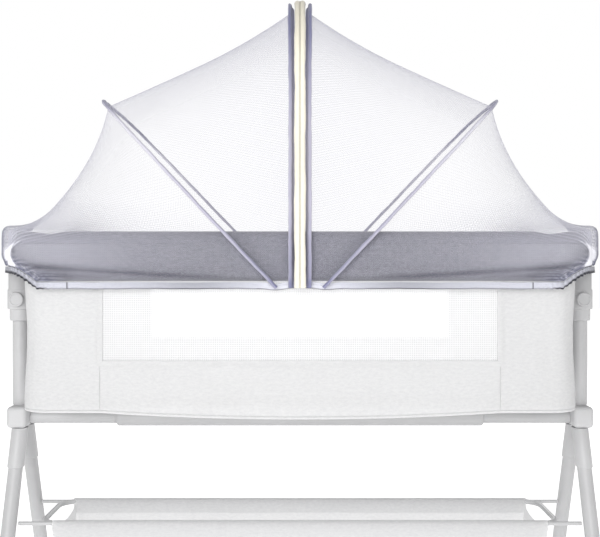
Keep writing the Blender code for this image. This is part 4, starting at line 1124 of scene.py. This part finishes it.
def makeStand():
    scaled = {k: [(a, b / 1000) for a, b in stand[k]] for k in ("socket", "button", "foot")}
    tube, sleeve = stand["tube"] / 1000, stand["sleeve"] / 1000
    for side, sign in (("left", -1), ("right", 1)):
        x = sign * postX
        socket = turnedPiece("socket", (x, 0, bracketBottom), (x, 0, bracketTop), scaled["socket"],
                             mouldedPlastic, sides=64)
        near, far = sorted((sign * (railHalfX + 0.0003), sign * (postX - 0.004)))
        arm = blockPiece("arm", (near, -stand["armHalfY"], stand["armLow"]),
                         (far, stand["armHalfY"], bracketTop - 0.003), mouldedPlastic, 0.004)
        dress(mergedPiece(f"legBracket_{side}", [socket, arm]), "moulded_plastic", f"leg_bracket_{side}")
        low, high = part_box(f"leg_button_{side}")
        z = (low.z + high.z) / 2
        dress(turnedPiece(f"legButton_{side}", (x, high.y, z), (x, low.y, z), scaled["button"],
                          mouldedPlastic), "moulded_plastic", f"leg_button_{side}")
        low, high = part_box(f"leg_post_{side}")
        post = turnedPiece(f"legPost_{side}", (x, 0, low.z), (x, 0, high.z), [(0, tube), (1, tube)],
                           coatedTube)
        dress(post, "coated_tube", f"leg_post_{side}")
        low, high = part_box(f"leg_hub_{side}")
        dress(blockPiece(f"legHub_{side}", low, high, mouldedPlastic, 0.0075, 5), "moulded_plastic",
              f"leg_hub_{side}")
        hubLow = low.z
        for name, turn in (("front", -1), ("back", 1)):
            low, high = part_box(f"foot_{name}_{side}")
            fx, fy = (low.x + high.x) / 2, (low.y + high.y) / 2
            share = stand["sleeveShare"]
            legs = [(0, sleeve), (share - 0.004, sleeve), (share, sleeve - 0.0008), (share + 0.001, tube),
                    (1, tube)]
            dress(turnedPiece(f"leg_{name}_{side}_tube", (fx, turn * stand["legY"], hubLow - 0.0003),
                              (fx, fy, high.z + 0.0003), legs, coatedTube, flatEnds=True),
                  "coated_tube", f"leg_{name}_{side}")
            dress(turnedPiece(f"foot_{name}_{side}_rubber", (fx, fy, low.z), (fx, fy, high.z),
                              scaled["foot"], rubber), "rubber_foot", f"foot_{name}_{side}")
    low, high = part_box("cross_tube")
    z = (low.z + high.z) / 2
    thin, thick = stand["thin"], stand["thick"]
    half = [(0, thin), (0.160, thin), (0.1605, thick - 0.002), (0.163, thick)]
    profile = half + [(0.837, thick), (0.8395, thick - 0.002), (0.84, thin), (1, thin)]
    dress(turnedPiece("crossTube", (low.x, 0, z), (high.x, 0, z), profile, coatedTube), "coated_tube",
          "cross_tube")


# storage basket: one length of cloth hung over both bars, a hemmed flap at each end
basket = {"rimZ": 0.253, "tubeR": 0.0045, "halfY": 0.0773, "halfX": 0.448, "corner": 0.035, "clothX": 0.427,
          "depth": 0.125, "taper": 0.010, "floorR": 0.018, "pinY": 0.0755, "pinR": 0.0034, "sag": 0.007,
          "bow": 0.003}


def makeBasket():
    r, rim = basket["tubeR"], basket["rimZ"]
    plan, outs = roundedRectangle(basket["halfX"], basket["halfY"], basket["corner"], 0.006)
    grid, _ = levelSweep(plan, outs, rim, planArc(0, 0, r, 0, 360, 14)[:-1])
    parts = [gridPiece("rim", grid, coatedTube, around=True, loop=True)]
    pinY, legX = basket["pinY"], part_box("leg_front_right")[0].x
    startX = basket["halfX"] - basket["corner"] + 0.008
    for sx in (-1, 1):
        for sy in (-1, 1):
            parts.append(turnedPiece("pin", (sx * startX, sy * pinY, rim), (sx * legX, sy * pinY, rim),
                                     [(0, basket["pinR"]), (1, basket["pinR"])],
                                     coatedTube, sides=20))
    dress(mergedPiece("basketRim", parts), "coated_tube", "basket_bar_front", "basket_bar_back",
          "basket_loop_left", "basket_loop_right")
    wrap, y, low = r + 0.0016, basket["halfY"], rim - basket["depth"] - 0.003
    fr, floorY = basket["floorR"], basket["halfY"] - basket["taper"]
    half = [(y - wrap * 0.95, rim - 0.020), (y - wrap, rim - 0.010), (y - wrap, rim)]
    half += [(y + wrap * math.cos(math.radians(a)), rim + wrap * math.sin(math.radians(a)))
             for a in range(150, -1, -30)]
    half += [(y + wrap, rim - 0.008), (y + wrap - 0.002, rim - 0.016)]
    wallTop, wallLow = (y + wrap - 0.003, rim - 0.024), (floorY + 0.001, low + fr)
    half += [tuple(np.add(wallTop, np.subtract(wallLow, wallTop) * k / 10)) for k in range(11)]
    half += planArc(floorY + 0.001 - fr, low + fr, fr, 0, -90, 6)[1:]
    half += [(floorY - fr - (floorY - fr) * k / 6, low) for k in range(1, 7)]
    section = np.array(half + [(-a, b) for a, b in reversed(half[:-1])])
    x = np.linspace(-basket["clothX"], basket["clothX"], 120)
    depth = ramp(section[:, 1], rim - 0.01, rim - 0.01 - basket["depth"])
    cells = stacked(x[:, None], section[:, 0], section[:, 1])
    bow = np.cos(x / basket["clothX"] * math.pi / 2)[:, None]
    flat = np.abs(section[:, 0]) < floorY - fr
    cells[..., 2] -= basket["sag"] * bow * flat * (1 - (section[:, 0] / floorY) ** 2)
    wall = np.sin(math.pi * depth) * np.sign(section[:, 0]) * ~flat
    wander = ripple(x, (0.0012, 0.19, 0.2), (0.0007, 0.083, 0.5))[:, None]
    cells[..., 1] += (basket["bow"] * bow + wander) * wall
    atEnds = np.sign(x)[:, None] * np.abs(x / basket["clothX"])[:, None] ** 8
    cells[..., 0] -= basket["taper"] * depth * atEnds
    piece = gridPiece("basketHammock", cells, basketCloth)
    dress(piece, "cradle_cloth", "basket_wall_front", "basket_wall_back", "basket_floor")
    tall, wide = np.linspace(0, 1, 16)[:, None], np.linspace(-1, 1, 26)
    for side, sign in (("left", -1), ("right", 1)):
        topY, lowY = basket["halfY"] - 0.0025, floorY - 0.004
        middle = 1 - wide ** 2
        z = low + 0.004 + (rim - r - 0.004 - low) * tall - 0.006 * middle * tall ** 3
        px = basket["clothX"] - basket["taper"] * (1 - tall) - 0.003 - 0.003 * middle * tall
        cells = stacked(sign * px, (lowY + (topY - lowY) * tall) * wide, z)
        piece = gridPiece(f"basketFlap_{side}", cells, basketCloth)
        dress(piece, "cradle_cloth", f"basket_wall_{side}")


makeStand()
makeBasket()
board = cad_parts["base_board"]
board.data.materials.clear()
boardCloth = grainedSurface("linen covered board", ("#cbcbcc", "#d6d6d6"), 0.9, 0.0015, 0.0002)
board.data.materials.append(boardCloth)
print("stand and basket made")


# studio: a lit white floor and surround, one broad soft light in front, a weaker one behind
studio = {"surround": 1.0, "ambient": 0.50, "floorGlow": 0.58, "aim": (0, 0, 0.75),
          "lights": (("front", (-0.7, -4.1, 1.7), 3.0, 112), ("back", (0.9, 4.2, 2.4), 3.0, 42))}


def makeStudio():
    work = bmesh.new()
    bmesh.ops.create_circle(work, cap_ends=True, radius=14.0, segments=96)
    mesh = bpy.data.meshes.new("floor")
    work.to_mesh(mesh)
    work.free()
    made, _, shader = startMaterial("white studio floor", "#f4f4f4", 0.9)
    shader.inputs["Emission Color"].default_value = (1, 1, 1, 1)
    shader.inputs["Emission Strength"].default_value = studio["floorGlow"]
    mesh.materials.append(made)
    floor = placeObject("floor", mesh)
    floor.location.z = -0.0006
    world = bpy.data.worlds.new("white surround")
    world.use_nodes = True
    # the surround shows white and lights the object more softly than the lamps do
    background = world.node_tree.nodes["Background"]
    background.inputs["Color"].default_value = (1, 1, 1, 1)
    rays = addNode(world.node_tree, "ShaderNodeLightPath")
    strength = addNode(world.node_tree, "ShaderNodeMapRange", {
        "Value": rays.outputs["Is Camera Ray"], "To Min": studio["ambient"], "To Max": studio["surround"]})
    world.node_tree.links.new(strength.outputs[0], background.inputs["Strength"])
    bpy.context.scene.world = world
    for name, place, size, power in studio["lights"]:
        lamp = bpy.data.lights.new(name, "AREA")
        lamp.shape, lamp.size, lamp.energy = "DISK", size, power
        light = placeObject(name, lamp)
        light.location = place
        light.rotation_euler = (Vector(place) - Vector(studio["aim"])).to_track_quat("Z", "Y").to_euler()


# the photo looks straight at the front, level with the middle of the end brackets
view = {"place": (0.0, -1.70, 0.70), "lens": 56.34, "shift": -0.0058}


def makeCamera():
    camera = bpy.data.cameras.new("camera")
    camera.lens, camera.sensor_width, camera.shift_y = view["lens"], 36.0, view["shift"]
    camera.clip_start = 0.05
    holder = placeObject("camera", camera)
    holder.location = view["place"]
    holder.rotation_euler = (math.pi / 2, 0, 0)
    bpy.context.scene.camera = holder
    bpy.context.scene.view_settings.view_transform = "Standard"


makeStudio()
makeCamera()
print("studio and camera made")
